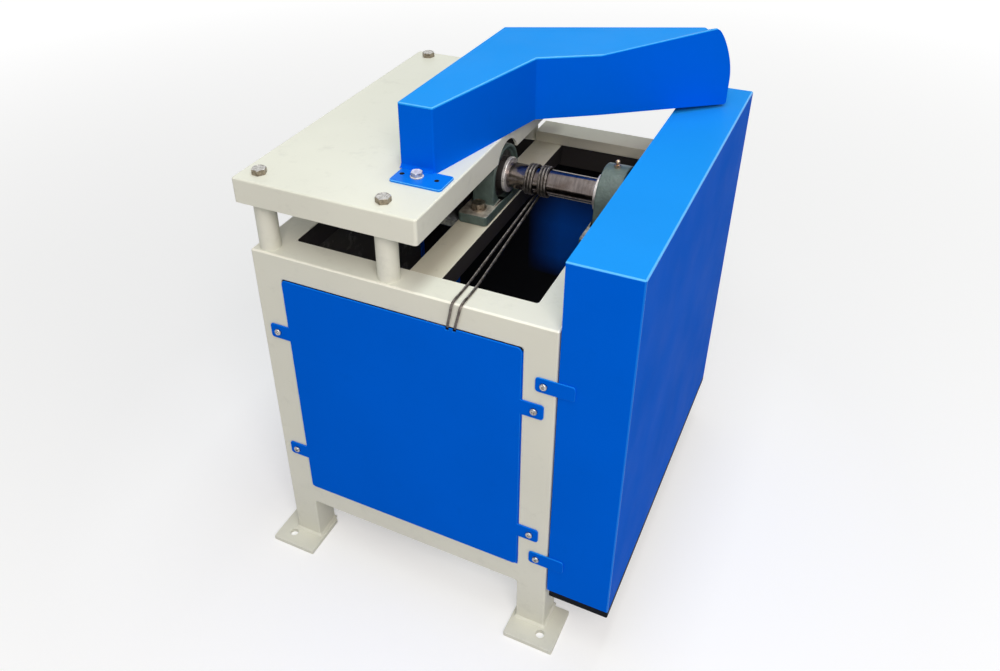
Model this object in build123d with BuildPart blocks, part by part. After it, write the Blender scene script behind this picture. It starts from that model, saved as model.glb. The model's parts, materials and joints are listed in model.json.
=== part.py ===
from build123d import *
import math
import os

os.makedirs("parts", exist_ok=True)

# Bamboo knot removing machine, in millimetres.
# The origin is on the floor, midway between the four anchor holes.
# +X runs along the spindle towards the belt guard, +Y away from the operator, +Z up.

# Welded frame of square tube
frame_w = 600.0
frame_d = 700.0
frame_h = 760.0
tube = 60.0
tube_wall = 3.0
tube_round = 4.0
rail_h = 50.0
low_rail_z = 123.0
foot_size = 104.0
foot_thick = 10.0
foot_round = 3.0
foot_out_x = 35.0
foot_out_y = 47.0
anchor_d = 18.0
anchor_edge_x = 35.0
anchor_edge_y = 29.0
ledge_h = 24.0
ledge_over = 4.0

# Sheet panels in the front, rear and left windows
panel_t = 3.0
panel_gap = 2.0
panel_top_gap = 5.0
panel_round = 8.0
tab_h = 32.0
tab_len = 40.0
tab_round = 6.0
tab_rise = 101.0
tab_drop = 126.0
tab_screw_out = 23.0
screw_d = 8.0
screw_head_d = 14.0
screw_head_h = 5.0
screw_socket = 5.0
screw_len = 14.0
hole_gap = 0.3

# Work table on four posts
table_over = 9.0
table_block_gap = 3.0
table_rear_in = 18.0
table_h = 48.0
table_sheet = 6.0
table_skirt = 5.0
table_corner = 6.0
table_round = 4.0
post_d = 40.0
post_show = 100.0
post_in_x = 28.5
post_in_y = 25.0
post_rear_in = 44.0
post_pitch_x = 249.5
table_bolt_d = 16.0
table_bolt_af = 24.0
table_bolt_head = 10.0
table_face_d = 22.8
table_face_t = 0.6
table_bolt_len = 40.0

# Pillow blocks and the rail that carries the left one
bearing_left_x = 31.0
spindle_y = 5.0
spindle_rise = 60.0
block_rail_w = 64.0
block_rail_h = 40.0
block_rail_wall = 6.0
block_base_w = 60.0
block_base_l = 220.0
block_base_t = 20.0
block_base_round = 8.0
block_ring_r = 58.0
block_ring_w = 44.0
block_recess_r = 51.0
block_recess = 6.0
block_flank = 4.0
block_bolt_pitch = 159.0
block_bolt_d = 16.0
block_bolt_len = 30.0
block_washer_d = 31.0
block_washer_t = 3.0
bearing_outer_r = 45.0
bearing_outer_w = 30.0
bearing_inner_r = 34.5
bearing_long_side = 32.6
bearing_round = 1.5
bearing_short_side = 19.0
nipple_stem_r = 4.0
nipple_stem = 8.0
nipple_hex = 11.0
nipple_hex_h = 5.0
nipple_neck_r = 2.6
nipple_neck = 4.0
nipple_ball_r = 3.4
seat_gap = 0.05
run_gap = 0.06
notch_r = 48.0
notch_over = 13.0

# Spindle, cutter head and pulley
spindle_d = 50.0
cutter_seat_d = 40.0
pulley_seat_d = 42.0
thread_d = 36.0
cutter_w = 42.0
cutter_r = 112.0
knife_r = 125.0
knife_count = 4
knife_t = 8.0
knife_foot_r = 78.0
pocket_w = 20.0
knife_screw_d = 8.0
knife_screw_head = 12.0
knife_screw_len = 22.0
knife_screw_pitch = 22.0
cutter_rail_gap = 9.0
cutter_slot_gap = 6.0
nut_af = 55.0
nut_h = 20.0
nose_over = 10.0
shaft_chamfer = 2.0

# V belts and pulleys
belt_count = 2
belt_pitch = 19.0
belt_top_w = 17.0
belt_h = 11.0
belt_pitch_drop = 4.0
belt_flank_deg = 18.0
belt_gap = 0.4
groove_under = 3.0
pulley_rim = 12.5
spindle_pulley_r = 55.0
motor_pulley_r = 75.0

# Motor on its plate
motor_plate_t = 10.0
motor_plate_d = 260.0
motor_plate_in = 5.0
motor_rise = 100.0
motor_r = 90.0
motor_bore_r = 60.0
motor_fin_r = 98.0
motor_fins = 18
motor_fin_t = 4.0
motor_body_l = 220.0
motor_shield_l = 20.0
motor_fan_l = 80.0
motor_cover_t = 2.0
fan_gap = 12.0
fan_blades = 6
fan_disc = 4.0
vent_w = 8.0
vent_count = 12
motor_shaft_d = 28.0
motor_pulley_gap = 12.0
motor_air_gap = 0.5
motor_foot_h = 32.0
motor_foot_in = 40.0
motor_foot_out = 110.0
motor_bolt_y = 92.0
motor_bolt_in = 25.0
motor_bolt_d = 12.0
box_size = 90.0
box_seat = 2.0
box_round = 6.0
box_top_round = 3.0
box_h = 50.0
gland_d = 24.0
gland_nut_h = 8.0
gland_neck = 14.0
gland_wall = 4.0

# Belt guard
guard_gap = 3.0
guard_w = 123.0
guard_rear_over = 73.0
guard_rise = 8.0
guard_over = 132.0
guard_t = 2.0
guard_round = 6.0
guard_lip = 20.0
guard_base_h = 16.0
guard_base_in = 4.0
strap_h = 30.0
strap_on_leg = 37.0
strap_on_guard = 30.0
strap_rise = 39.0
strap_drop = 66.0
strap_screw_in = 21.5

# Hood over the cutter
hood_t = 2.0
hood_h = 122.0
hood_left_x = -55.0
hood_front_y = -208.0
hood_front_w = 66.0
hood_bend_1 = (80.5, 77.0)
hood_bend_2 = (184.0, 137.0)
hood_end = (391.0, 319.0)
hood_end_w = 73.0
hood_rear = (-46.0, 217.0)
hood_mid_lift = 2.5
hood_end_rise = 30.0
hood_end_drop = 10.0
hood_end_round = 158.0
hood_end_corner = 6.0
hood_nose_in = 39.7
hood_nose_h = 94.9
hood_nose_round = 18.0
hood_round_clear = 0.3
hood_mouth_h = 80.0
hood_mouth_half = 135.0
hood_foot_t = 4.0
hood_foot_x0 = -50.0
hood_foot_x1 = 49.5
hood_foot_d = 53.0
hood_foot_round = 6.0
hood_bolt_x = -10.0
hood_bolt_in = 29.0
hood_hole_d = 9.0
hood_hole_pitch = 33.5
hood_hole_shift = 4.5
hood_bolt_d = 12.0
hood_bolt_af = 19.0
hood_bolt_head = 8.0
hood_washer_d = 24.0
hood_washer_t = 2.0
hood_bolt_len = 25.0

# Tie wires round the spindle
wire_d = 5.0
wire_gap = 0.4
wire_turns = 3
wire_pitch = 6.0
wire_ease_r = 60.0
wire_tail = 22.0
wire_low_x = (102.0, 115.5)
wire_rail_x = (113.5, 130.0)
wire_coil_x = (118.0, 125.0)

# Places that follow from the sizes above
half_w = frame_w / 2
half_d = frame_d / 2
window_x = half_w - tube
window_y = half_d - tube
low_rail_top = low_rail_z + rail_h
leg_top = frame_h - rail_h
bore_round = tube_round - tube_wall / 2
tab_z_low = low_rail_top + tab_rise
tab_z_high = leg_top - tab_drop
strap_z_low = low_rail_top + strap_rise
strap_z_high = leg_top - strap_drop
guard_z = low_rail_z + guard_rise
guard_top = frame_h + guard_over
anchor_x = half_w + foot_out_x - anchor_edge_x
anchor_y = half_d + foot_out_y - anchor_edge_y
ledge_x0 = -half_w + post_in_x + post_pitch_x + post_d / 2 + ledge_over

spindle_z = frame_h + spindle_rise
bearing_right_x = half_w - tube / 2
table_z = frame_h + post_show
table_top = table_z + table_h
post_h = post_show + table_h - table_sheet
table_x0 = -half_w - table_over
table_x1 = bearing_left_x + block_ring_w / 2 + table_block_gap
table_y0 = -half_d - table_over
table_y1 = half_d - table_rear_in
post_x = (-half_w + post_in_x, -half_w + post_in_x + post_pitch_x)
post_y = (-half_d + post_in_y, half_d - post_rear_in)

cutter_x1 = bearing_left_x - block_rail_w / 2 - cutter_rail_gap
cutter_x0 = cutter_x1 - cutter_w
cutter_x = (cutter_x0 + cutter_x1) / 2

guard_x0 = half_w + guard_gap
guard_x1 = guard_x0 + guard_w
guard_y0 = -half_d
guard_y1 = half_d + guard_rear_over
pulley_w = (belt_count - 1) * belt_pitch + 2 * pulley_rim
pulley_x = (guard_x0 + guard_x1) / 2 + guard_t
pulley_x0 = pulley_x - pulley_w / 2
pulley_x1 = pulley_x + pulley_w / 2

plate_top = low_rail_top + motor_plate_t
motor_y = spindle_y
motor_z = plate_top + motor_rise
motor_face_x = pulley_x0 - motor_pulley_gap
motor_x1 = motor_face_x - motor_shield_l
motor_x0 = motor_x1 - motor_body_l
motor_tail_x = motor_x0 - motor_shield_l
motor_end_x = motor_tail_x - motor_fan_l
motor_bolt_x = (motor_x0 + motor_bolt_in, motor_x1 - motor_bolt_in)
motor_bolt_spots = [(x, motor_y + side * motor_bolt_y) for x in motor_bolt_x for side in (-1, 1)]

front = Plane(origin=(0, -half_d, 0), x_dir=(1, 0, 0), z_dir=(0, -1, 0))
rear = Plane(origin=(0, half_d, 0), x_dir=(-1, 0, 0), z_dir=(0, 1, 0))
left = Plane(origin=(-half_w, 0, 0), x_dir=(0, -1, 0), z_dir=(-1, 0, 0))


def keep(piece, name):
    """Label one finished piece and write it as its own STEP file."""
    piece.part.label = name
    export_step(piece.part, f"parts/{name}.step")


def block(x0, x1, y0, y1, z0, z1, mode=Mode.ADD):
    """Add or cut a box between two corners."""
    with Locations(((x0 + x1) / 2, (y0 + y1) / 2, (z0 + z1) / 2)):
        Box(x1 - x0, y1 - y0, z1 - z0, mode=mode)


def rod(x0, x1, radius, y, z, mode=Mode.ADD):
    """Add or cut a round bar along X."""
    with Locations(Location(((x0 + x1) / 2, y, z), (0, 90, 0))):
        Cylinder(radius, x1 - x0, mode=mode)


def spot(side, x, z, out=0.0):
    """A place on one side of the frame, facing outwards."""
    origin = side.from_local_coords((x, z, out))
    return Location(Plane(origin=origin, x_dir=side.x_dir, z_dir=side.z_dir))


def hex_bolt(diameter, flats, head, washer_d, washer_t, length):
    """A hexagon bolt with its washer, its seat at z = 0 and its shank below."""
    with BuildPart() as bolt:
        with BuildSketch():
            Circle(washer_d / 2)
        extrude(amount=washer_t)
        with BuildSketch(Plane.XY.offset(washer_t)):
            RegularPolygon(flats / 2, 6, major_radius=False)
        extrude(amount=head)
        chamfer(bolt.faces().sort_by(Axis.Z)[-1].edges(), head / 10)
        with BuildSketch():
            Circle(diameter / 2)
        extrude(amount=-length)
    return bolt


def group(one, places, name):
    """Copies of one fastener as a single node of separate solids."""
    with BuildPart() as copies:
        with Locations(*places):
            add(one.part)
    keep(copies, name)


# Where the cover screws go: two at each edge of a panel, two on each side of the guard
panel_sides = {
    "front_panel": (front, window_x),
    "rear_panel": (rear, window_x),
    "left_panel": (left, window_y),
}
panel_spots = []
for side, half in panel_sides.values():
    for x in (-half - tab_screw_out, half + tab_screw_out):
        for z in (tab_z_low, tab_z_high):
            panel_spots.append((side, x, z))
strap_x = half_w - strap_screw_in
strap_spots = []
for z in (strap_z_low, strap_z_high):
    strap_spots.append((front, strap_x, z))
    strap_spots.append((rear, -strap_x, z))
screw_spots = panel_spots + strap_spots


# Legs, with a tapped hole under each cover screw
def make_leg(name, side_x, side_y):
    cx = side_x * (half_w - tube / 2)
    cy = side_y * (half_d - tube / 2)
    holes = []
    for place in screw_spots:
        hole = spot(*place)
        near_x = abs(hole.position.X - cx) <= tube / 2
        near_y = abs(hole.position.Y - cy) <= tube / 2
        if near_x and near_y:
            holes.append(hole)
    bore = tube - 2 * tube_wall
    with BuildPart() as leg:
        with BuildSketch(Plane.XY.offset(foot_thick)):
            with Locations((cx, cy)):
                RectangleRounded(tube, tube, tube_round)
                RectangleRounded(bore, bore, bore_round, mode=Mode.SUBTRACT)
        extrude(amount=leg_top - foot_thick)
        with Locations(*holes):
            Cylinder(screw_d / 2 + hole_gap, 4 * tube_wall, mode=Mode.SUBTRACT)
    keep(leg, name)


def make_foot(name, side_x, side_y):
    px = side_x * (half_w + foot_out_x - foot_size / 2)
    py = side_y * (half_d + foot_out_y - foot_size / 2)
    with BuildPart() as foot:
        with BuildSketch():
            with Locations((px, py)):
                RectangleRounded(foot_size, foot_size, foot_round)
            with Locations((side_x * anchor_x, side_y * anchor_y)):
                Circle(anchor_d / 2, mode=Mode.SUBTRACT)
        extrude(amount=foot_thick)
    keep(foot, name)


for corner, side_x, side_y in (
    ("front_left", -1, -1),
    ("front_right", 1, -1),
    ("rear_left", -1, 1),
    ("rear_right", 1, 1),
):
    make_leg("leg_" + corner, side_x, side_y)
    make_foot("foot_plate_" + corner, side_x, side_y)


# Rails along X, closed at the left end where asked
def make_cross_rail(name, x0, x1, y, z, height, cap):
    with BuildPart() as rail:
        with BuildSketch(Plane.YZ.offset(x0)):
            with Locations((y, z)):
                RectangleRounded(tube, height, tube_round)
        extrude(amount=x1 - x0)
        with BuildSketch(Plane.YZ.offset(x0 + cap)):
            with Locations((y, z)):
                RectangleRounded(tube - 2 * tube_wall, height - 2 * tube_wall, bore_round)
        extrude(amount=x1 - x0, mode=Mode.SUBTRACT)
    keep(rail, name)


# Rails along Y between the cross rails or the legs
def make_side_rail(name, x, z, holes, hole_r):
    with BuildPart() as rail:
        with BuildSketch(Plane.XZ.offset(-window_y)):
            with Locations((x, z)):
                RectangleRounded(tube, rail_h, tube_round)
                RectangleRounded(
                    tube - 2 * tube_wall, rail_h - 2 * tube_wall, bore_round, mode=Mode.SUBTRACT
                )
        extrude(amount=2 * window_y)
        if holes:
            with Locations(*holes):
                Hole(hole_r, depth=rail_h / 2)
    keep(rail, name)


rail_y = half_d - tube / 2
rail_x = half_w - tube / 2
top_z = frame_h - rail_h / 2
low_z = low_rail_z + rail_h / 2
block_bolt_y = (spindle_y - block_bolt_pitch / 2, spindle_y + block_bolt_pitch / 2)
make_cross_rail("top_rail_front", -half_w, half_w, -rail_y, top_z, rail_h, tube_wall)
make_cross_rail("top_rail_rear", -half_w, half_w, rail_y, top_z, rail_h, tube_wall)
make_cross_rail("bottom_rail_front", -window_x, window_x, -rail_y, low_z, rail_h, 0)
make_cross_rail("bottom_rail_rear", -window_x, window_x, rail_y, low_z, rail_h, 0)
make_cross_rail(
    "rear_ledge", ledge_x0, half_w, rail_y - ledge_over, frame_h + ledge_h / 2, ledge_h, tube_wall
)
make_side_rail("top_rail_left", -rail_x, top_z, [], 0)
make_side_rail("bottom_rail_left", -rail_x, low_z, [], 0)
rail_bolts = [(x, y, low_rail_top) for x, y in motor_bolt_spots if abs(x - rail_x) < tube / 2]
make_side_rail("bottom_rail_right", rail_x, low_z, rail_bolts, motor_bolt_d / 2 + hole_gap)
block_bolts = [(bearing_right_x, y, frame_h) for y in block_bolt_y]
make_side_rail("top_rail_right", rail_x, top_z, block_bolts, block_bolt_d / 2 + hole_gap)

# Channel that carries the left pillow block, open below
with BuildPart() as bearing_rail:
    block(
        bearing_left_x - block_rail_w / 2, bearing_left_x + block_rail_w / 2,
        -window_y, window_y, frame_h - block_rail_h, frame_h,
    )
    fillet(bearing_rail.faces().sort_by(Axis.Z)[-1].edges().filter_by(Axis.Y), tube_round)
    block(
        bearing_left_x - block_rail_w / 2 + block_rail_wall,
        bearing_left_x + block_rail_w / 2 - block_rail_wall,
        -window_y, window_y, frame_h - block_rail_h, frame_h - block_rail_wall, mode=Mode.SUBTRACT,
    )
    with Locations(*[(bearing_left_x, y, frame_h) for y in block_bolt_y]):
        Hole(block_bolt_d / 2 + hole_gap, depth=block_rail_h)
keep(bearing_rail, "bearing_rail")


# Flat panels, each with four screwed tabs that lap over the legs
def make_panel(name, side, half):
    low = low_rail_top + panel_gap
    high = leg_top - panel_top_gap
    with BuildPart() as panel:
        with BuildSketch(side):
            with Locations((0, (low + high) / 2)):
                RectangleRounded(2 * (half - panel_gap), high - low, panel_round)
            tab_span = 2 * (half + tab_len)
            with Locations((0, tab_z_low), (0, tab_z_high)):
                RectangleRounded(tab_span, tab_h, tab_round)
            with Locations(*[(x, z) for s, x, z in panel_spots if s is side]):
                Circle(screw_d / 2 + hole_gap, mode=Mode.SUBTRACT)
        extrude(amount=panel_t)
    keep(panel, name)


for name, (side, half) in panel_sides.items():
    make_panel(name, side, half)

# Button head screws for the panels and the guard
with BuildPart() as cover_screw:
    with BuildSketch():
        Circle(screw_head_d / 2)
    extrude(amount=screw_head_h)
    fillet(cover_screw.edges().sort_by(Axis.Z)[-1], screw_head_h * 0.6)
    with BuildSketch(Plane.XY.offset(screw_head_h)):
        RegularPolygon(screw_socket / 2, 6, major_radius=False)
    extrude(amount=-screw_head_h / 2, mode=Mode.SUBTRACT)
    with BuildSketch():
        Circle(screw_d / 2)
    extrude(amount=-screw_len)
group(cover_screw, [spot(*place, panel_t) for place in screw_spots], "cover_screws")

# Table: a folded tray, upside down, with a notch for the left pillow block
post_spots = [(x, y) for x in post_x for y in post_y]
slot_half = math.sqrt((knife_r + cutter_slot_gap) ** 2 - (table_top - table_sheet - spindle_z) ** 2)
with BuildPart() as work_table:
    block(table_x0, table_x1, table_y0, table_y1, table_z, table_top)
    fillet(work_table.edges().filter_by(Axis.Z), table_corner)
    fillet(work_table.faces().sort_by(Axis.Z)[-1].edges(), table_round)
    block(
        table_x0 + table_skirt, table_x1 - table_skirt, table_y0 + table_skirt,
        table_y1 - table_skirt, table_z, table_top - table_sheet, mode=Mode.SUBTRACT,
    )
    notch_z = spindle_z + block_ring_r + notch_over - notch_r
    rod(table_x1 - 2 * table_skirt, table_x1 + table_skirt, notch_r, spindle_y, notch_z, Mode.SUBTRACT)
    block(
        cutter_x0 - cutter_slot_gap, cutter_x1 + cutter_slot_gap, spindle_y - slot_half,
        spindle_y + slot_half, table_top - table_sheet, table_top, mode=Mode.SUBTRACT,
    )
    with Locations(*[(x, y, table_top) for x, y in post_spots]):
        Hole(table_bolt_d / 2 + hole_gap, depth=table_sheet)
    with Locations((hood_bolt_x, hood_front_y - hood_foot_d + hood_bolt_in, table_top)):
        Hole(hood_bolt_d / 2 + hole_gap, depth=table_sheet)
keep(work_table, "work_table")

# Posts, tapped for the table bolts
post_names = ("front_left", "rear_left", "front_right", "rear_right")
for name, (x, y) in zip(post_names, post_spots):
    with BuildPart() as post:
        with BuildSketch(Plane.XY.offset(frame_h)):
            with Locations((x, y)):
                Circle(post_d / 2)
        extrude(amount=post_h)
        with Locations((x, y, frame_h + post_h)):
            Hole(table_bolt_d / 2 + hole_gap, depth=table_bolt_len)
    keep(post, "table_post_" + name)

table_bolt = hex_bolt(
    table_bolt_d, table_bolt_af, table_bolt_head, table_face_d, table_face_t, table_bolt_len
)
group(table_bolt, [(x, y, table_top) for x, y in post_spots], "table_bolts")


# Cast pillow block, its ball bearing and its grease nipple
def make_housing(name, x):
    base_top = frame_h + block_base_t
    with BuildPart() as housing:
        block(
            x - block_base_w / 2, x + block_base_w / 2, spindle_y - block_base_l / 2,
            spindle_y + block_base_l / 2, frame_h, base_top,
        )
        fillet(housing.edges().filter_by(Axis.Z), block_base_round)
        with BuildSketch(Plane.YZ.offset(x - block_ring_w / 2)):
            with Locations((spindle_y, spindle_z)):
                Circle(block_ring_r)
            with BuildLine():
                Polyline(
                    (spindle_y - block_ring_r - block_flank, base_top),
                    (spindle_y - block_ring_r, spindle_z),
                    (spindle_y + block_ring_r, spindle_z),
                    (spindle_y + block_ring_r + block_flank, base_top),
                    (spindle_y + block_ring_r, frame_h),
                    (spindle_y - block_ring_r, frame_h),
                    close=True,
                )
            make_face()
        extrude(amount=block_ring_w)
        block(x - block_ring_w, x + block_ring_w, spindle_y - block_ring_r, spindle_y + block_ring_r,
              frame_h - block_ring_r, frame_h, mode=Mode.SUBTRACT)
        rod(x - block_ring_w, x + block_ring_w, bearing_outer_r + seat_gap, spindle_y, spindle_z,
            Mode.SUBTRACT)
        for side in (-1, 1):
            face = x + side * block_ring_w / 2
            rod(min(face, face - side * block_recess), max(face, face - side * block_recess),
                block_recess_r, spindle_y, spindle_z, Mode.SUBTRACT)
        with Locations(*[(x, y, base_top) for y in block_bolt_y]):
            Hole(block_bolt_d / 2 + hole_gap, depth=block_base_t)
        with Locations((x, spindle_y, spindle_z + block_ring_r)):
            Hole(nipple_stem_r + hole_gap, depth=nipple_stem)
    keep(housing, name)


def make_bearing(where, x, long_way):
    with BuildPart() as outer:
        rod(x - bearing_outer_w / 2, x + bearing_outer_w / 2, bearing_outer_r, spindle_y, spindle_z)
        rod(x - bearing_outer_w, x + bearing_outer_w, bearing_inner_r + run_gap, spindle_y, spindle_z,
            Mode.SUBTRACT)
    keep(outer, "bearing_outer_ring_" + where)
    ends = sorted((x + long_way * bearing_long_side, x - long_way * bearing_short_side))
    with BuildPart() as inner:
        rod(ends[0], ends[1], bearing_inner_r, spindle_y, spindle_z)
        fillet(inner.edges().filter_by(GeomType.CIRCLE), bearing_round)
        rod(ends[0] - 1, ends[1] + 1, spindle_d / 2 + seat_gap, spindle_y, spindle_z, Mode.SUBTRACT)
    keep(inner, "bearing_inner_ring_" + where)


make_housing("bearing_housing_left", bearing_left_x)
make_housing("bearing_housing_right", bearing_right_x)
make_bearing("left", bearing_left_x, 1)
make_bearing("right", bearing_right_x, -1)

with BuildPart() as nipple:
    with BuildSketch():
        Circle(nipple_stem_r)
    extrude(amount=-nipple_stem)
    with BuildSketch():
        RegularPolygon(nipple_hex / 2, 6, major_radius=False)
    extrude(amount=nipple_hex_h)
    with BuildSketch(Plane.XY.offset(nipple_hex_h)):
        Circle(nipple_neck_r)
    extrude(amount=nipple_neck)
    with Locations((0, 0, nipple_hex_h + nipple_neck + nipple_ball_r * 0.7)):
        Sphere(nipple_ball_r)
block_places = [(x, spindle_y, spindle_z + block_ring_r) for x in (bearing_left_x, bearing_right_x)]
group(nipple, block_places, "grease_nipples")

block_bolt = hex_bolt(
    block_bolt_d, table_bolt_af, table_bolt_head, block_washer_d, block_washer_t, block_bolt_len
)
bolt_places = [
    (x, y, frame_h + block_base_t) for x in (bearing_left_x, bearing_right_x) for y in block_bolt_y
]
group(block_bolt, bolt_places, "bearing_bolts")

# Spindle: threaded nose, cutter seat, journal, pulley seat
nose_x = cutter_x0 - nut_h - nose_over
journal_end = half_w + guard_gap
with BuildPart() as spindle:
    rod(nose_x, cutter_x0, thread_d / 2, spindle_y, spindle_z)
    rod(cutter_x0, cutter_x1, cutter_seat_d / 2, spindle_y, spindle_z)
    rod(cutter_x1, journal_end, spindle_d / 2, spindle_y, spindle_z)
    rod(journal_end, pulley_x1, pulley_seat_d / 2, spindle_y, spindle_z)
    chamfer(spindle.faces().sort_by(Axis.X)[0].edges(), shaft_chamfer)
    chamfer(spindle.faces().sort_by(Axis.X)[-1].edges(), shaft_chamfer)
keep(spindle, "spindle")

with BuildPart() as spindle_nut:
    with BuildSketch(Plane.YZ.offset(cutter_x0 - nut_h)):
        with Locations((spindle_y, spindle_z)):
            RegularPolygon(nut_af / 2, 6, major_radius=False)
            Circle(thread_d / 2 + seat_gap, mode=Mode.SUBTRACT)
    extrude(amount=nut_h)
keep(spindle_nut, "spindle_nut")

# Cutter head with a knife in each pocket, held by two screws
knife_planes = []
for count in range(knife_count):
    angle = 2 * math.pi * count / knife_count + math.pi / knife_count
    tangent = (0, -math.sin(angle), math.cos(angle))
    origin = (cutter_x, spindle_y, spindle_z)
    knife_planes.append(Plane(origin=origin, x_dir=(1, 0, 0), z_dir=tangent))
screw_reach = knife_screw_len - knife_t
screw_row = (knife_foot_r + cutter_r) / 2
knife_screw_x = (-knife_screw_pitch / 2, knife_screw_pitch / 2)

with BuildPart() as cutter_head:
    rod(cutter_x0, cutter_x1, cutter_r, spindle_y, spindle_z)
    chamfer(cutter_head.edges().filter_by(GeomType.CIRCLE), shaft_chamfer)
    rod(cutter_x0 - 1, cutter_x1 + 1, cutter_seat_d / 2 + seat_gap, spindle_y, spindle_z, Mode.SUBTRACT)
    for plane in knife_planes:
        with Locations(plane):
            with Locations((0, (knife_foot_r + knife_r) / 2, pocket_w / 2)):
                Box(2 * cutter_w, knife_r - knife_foot_r, pocket_w, mode=Mode.SUBTRACT)
            with Locations(*[(x, screw_row, -screw_reach / 2) for x in knife_screw_x]):
                Cylinder(knife_screw_d / 2 + hole_gap, screw_reach, mode=Mode.SUBTRACT)
keep(cutter_head, "cutter_head")

with BuildPart() as cutter_knives:
    for plane in knife_planes:
        with Locations(plane):
            with Locations((0, (knife_foot_r + knife_r) / 2, knife_t / 2)):
                Box(cutter_w, knife_r - knife_foot_r, knife_t)
            with Locations(*[(x, screw_row, knife_t / 2) for x in knife_screw_x]):
                Cylinder(knife_screw_d / 2 + hole_gap, knife_t, mode=Mode.SUBTRACT)
keep(cutter_knives, "cutter_knives")

with BuildPart() as knife_screws:
    for plane in knife_planes:
        with Locations(plane):
            with Locations(*[(x, screw_row, knife_t - knife_screw_len / 2) for x in knife_screw_x]):
                Cylinder(knife_screw_d / 2, knife_screw_len)
            with Locations(*[(x, screw_row, knife_t + knife_screw_d / 4) for x in knife_screw_x]):
                Cylinder(knife_screw_head / 2, knife_screw_d / 2)
keep(knife_screws, "knife_screws")

# Two groove pulleys and the belts that lie in them with a little air
flank = math.tan(math.radians(belt_flank_deg))
belt_spots = [pulley_x + (count - (belt_count - 1) / 2) * belt_pitch for count in range(belt_count)]


def make_pulley(name, pitch_r, bore_r, y, z):
    rim_r = pitch_r + belt_pitch_drop
    root_r = rim_r - belt_h - groove_under
    top_half = belt_top_w / 2 + belt_gap
    root_half = top_half - (rim_r - root_r) * flank
    with BuildPart() as pulley:
        with BuildSketch(Plane(origin=(0, y, z), x_dir=(1, 0, 0), z_dir=(0, -1, 0))):
            with BuildLine():
                outline = [(pulley_x0, bore_r), (pulley_x0, rim_r)]
                for x in belt_spots:
                    outline += [(x - top_half, rim_r), (x - root_half, root_r)]
                    outline += [(x + root_half, root_r), (x + top_half, rim_r)]
                outline += [(pulley_x1, rim_r), (pulley_x1, bore_r)]
                Polyline(*outline, close=True)
            make_face()
        revolve(axis=Axis((0, y, z), (1, 0, 0)))
    keep(pulley, name)


make_pulley("spindle_pulley", spindle_pulley_r, pulley_seat_d / 2 + seat_gap, spindle_y, spindle_z)
make_pulley("motor_pulley", motor_pulley_r, motor_shaft_d / 2 + seat_gap, motor_y, motor_z)

centres = spindle_z - motor_z
lean = math.asin((motor_pulley_r - spindle_pulley_r) / centres)
with BuildPart() as drive_belts:
    for x in belt_spots:
        out_y = math.cos(lean)
        out_z = math.sin(lean)
        low_start = (spindle_y + motor_pulley_r * out_y, motor_z + motor_pulley_r * out_z)
        high_start = (spindle_y + spindle_pulley_r * out_y, spindle_z + spindle_pulley_r * out_z)
        high_end = (spindle_y - spindle_pulley_r * out_y, high_start[1])
        low_end = (spindle_y - motor_pulley_r * out_y, low_start[1])
        with BuildLine(Plane.YZ.offset(x)) as run:
            Line(low_start, high_start)
            ThreePointArc(high_start, (spindle_y, spindle_z + spindle_pulley_r), high_end)
            Line(high_end, low_end)
            ThreePointArc(low_end, (spindle_y, motor_z - motor_pulley_r), low_start)
        start = Plane(origin=(x, *low_start), x_dir=(1, 0, 0), z_dir=(0, -out_z, out_y))
        with BuildSketch(start):
            with BuildLine():
                root = belt_pitch_drop - belt_h
                root_half = belt_top_w / 2 - belt_h * flank
                Polyline(
                    (-belt_top_w / 2, belt_pitch_drop),
                    (belt_top_w / 2, belt_pitch_drop),
                    (root_half, root),
                    (-root_half, root),
                    close=True,
                )
            make_face()
        sweep(path=run.line)
keep(drive_belts, "drive_belts")

# Motor: ribbed body on two feet, shields, rotor, fan, fan cover and terminal box
foot_top = plate_top + motor_foot_h
box_x = (motor_x0 + motor_x1) / 2
box_z = motor_z + motor_r - box_seat
with BuildPart() as motor_housing:
    with BuildSketch(Plane.YZ.offset(motor_x0)):
        with Locations((motor_y, motor_z)):
            Circle(motor_r)
            with PolarLocations((motor_r + motor_fin_r) / 2 - motor_fin_t, motor_fins):
                Rectangle(motor_fin_r - motor_r + motor_fin_t, motor_fin_t)
        for side in (-1, 1):
            with Locations((motor_y + side * (motor_foot_in + motor_foot_out) / 2,
                            plate_top + motor_foot_h / 2)):
                Rectangle(motor_foot_out - motor_foot_in, motor_foot_h)
        with Locations((motor_y, motor_z)):
            Circle(motor_bore_r, mode=Mode.SUBTRACT)
    extrude(amount=motor_body_l)
    block(box_x - box_size / 2, box_x + box_size / 2, motor_y - box_size / 2, motor_y + box_size / 2,
          box_z, motor_z + motor_fin_r, mode=Mode.SUBTRACT)
    with Locations(*[(x, y, foot_top) for x, y in motor_bolt_spots]):
        Hole(motor_bolt_d / 2 + hole_gap, depth=motor_foot_h)
keep(motor_housing, "motor_housing")

for name, x0 in (("motor_shield_drive", motor_x1), ("motor_shield_fan", motor_tail_x)):
    with BuildPart() as shield:
        rod(x0, x0 + motor_shield_l, motor_r, motor_y, motor_z)
        if name == "motor_shield_drive":
            fillet(shield.faces().sort_by(Axis.X)[-1].edges(), motor_shield_l / 3)
        rod(x0 - 1, x0 + motor_shield_l + 1, motor_shaft_d / 2 + run_gap, motor_y, motor_z, Mode.SUBTRACT)
    keep(shield, name)

with BuildPart() as motor_rotor:
    rod(motor_end_x + motor_fan_l / 3, pulley_x1, motor_shaft_d / 2, motor_y, motor_z)
    rod(motor_x0 + motor_shield_l, motor_x1 - motor_shield_l, motor_bore_r - motor_air_gap, motor_y, motor_z)
keep(motor_rotor, "motor_rotor")

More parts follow.
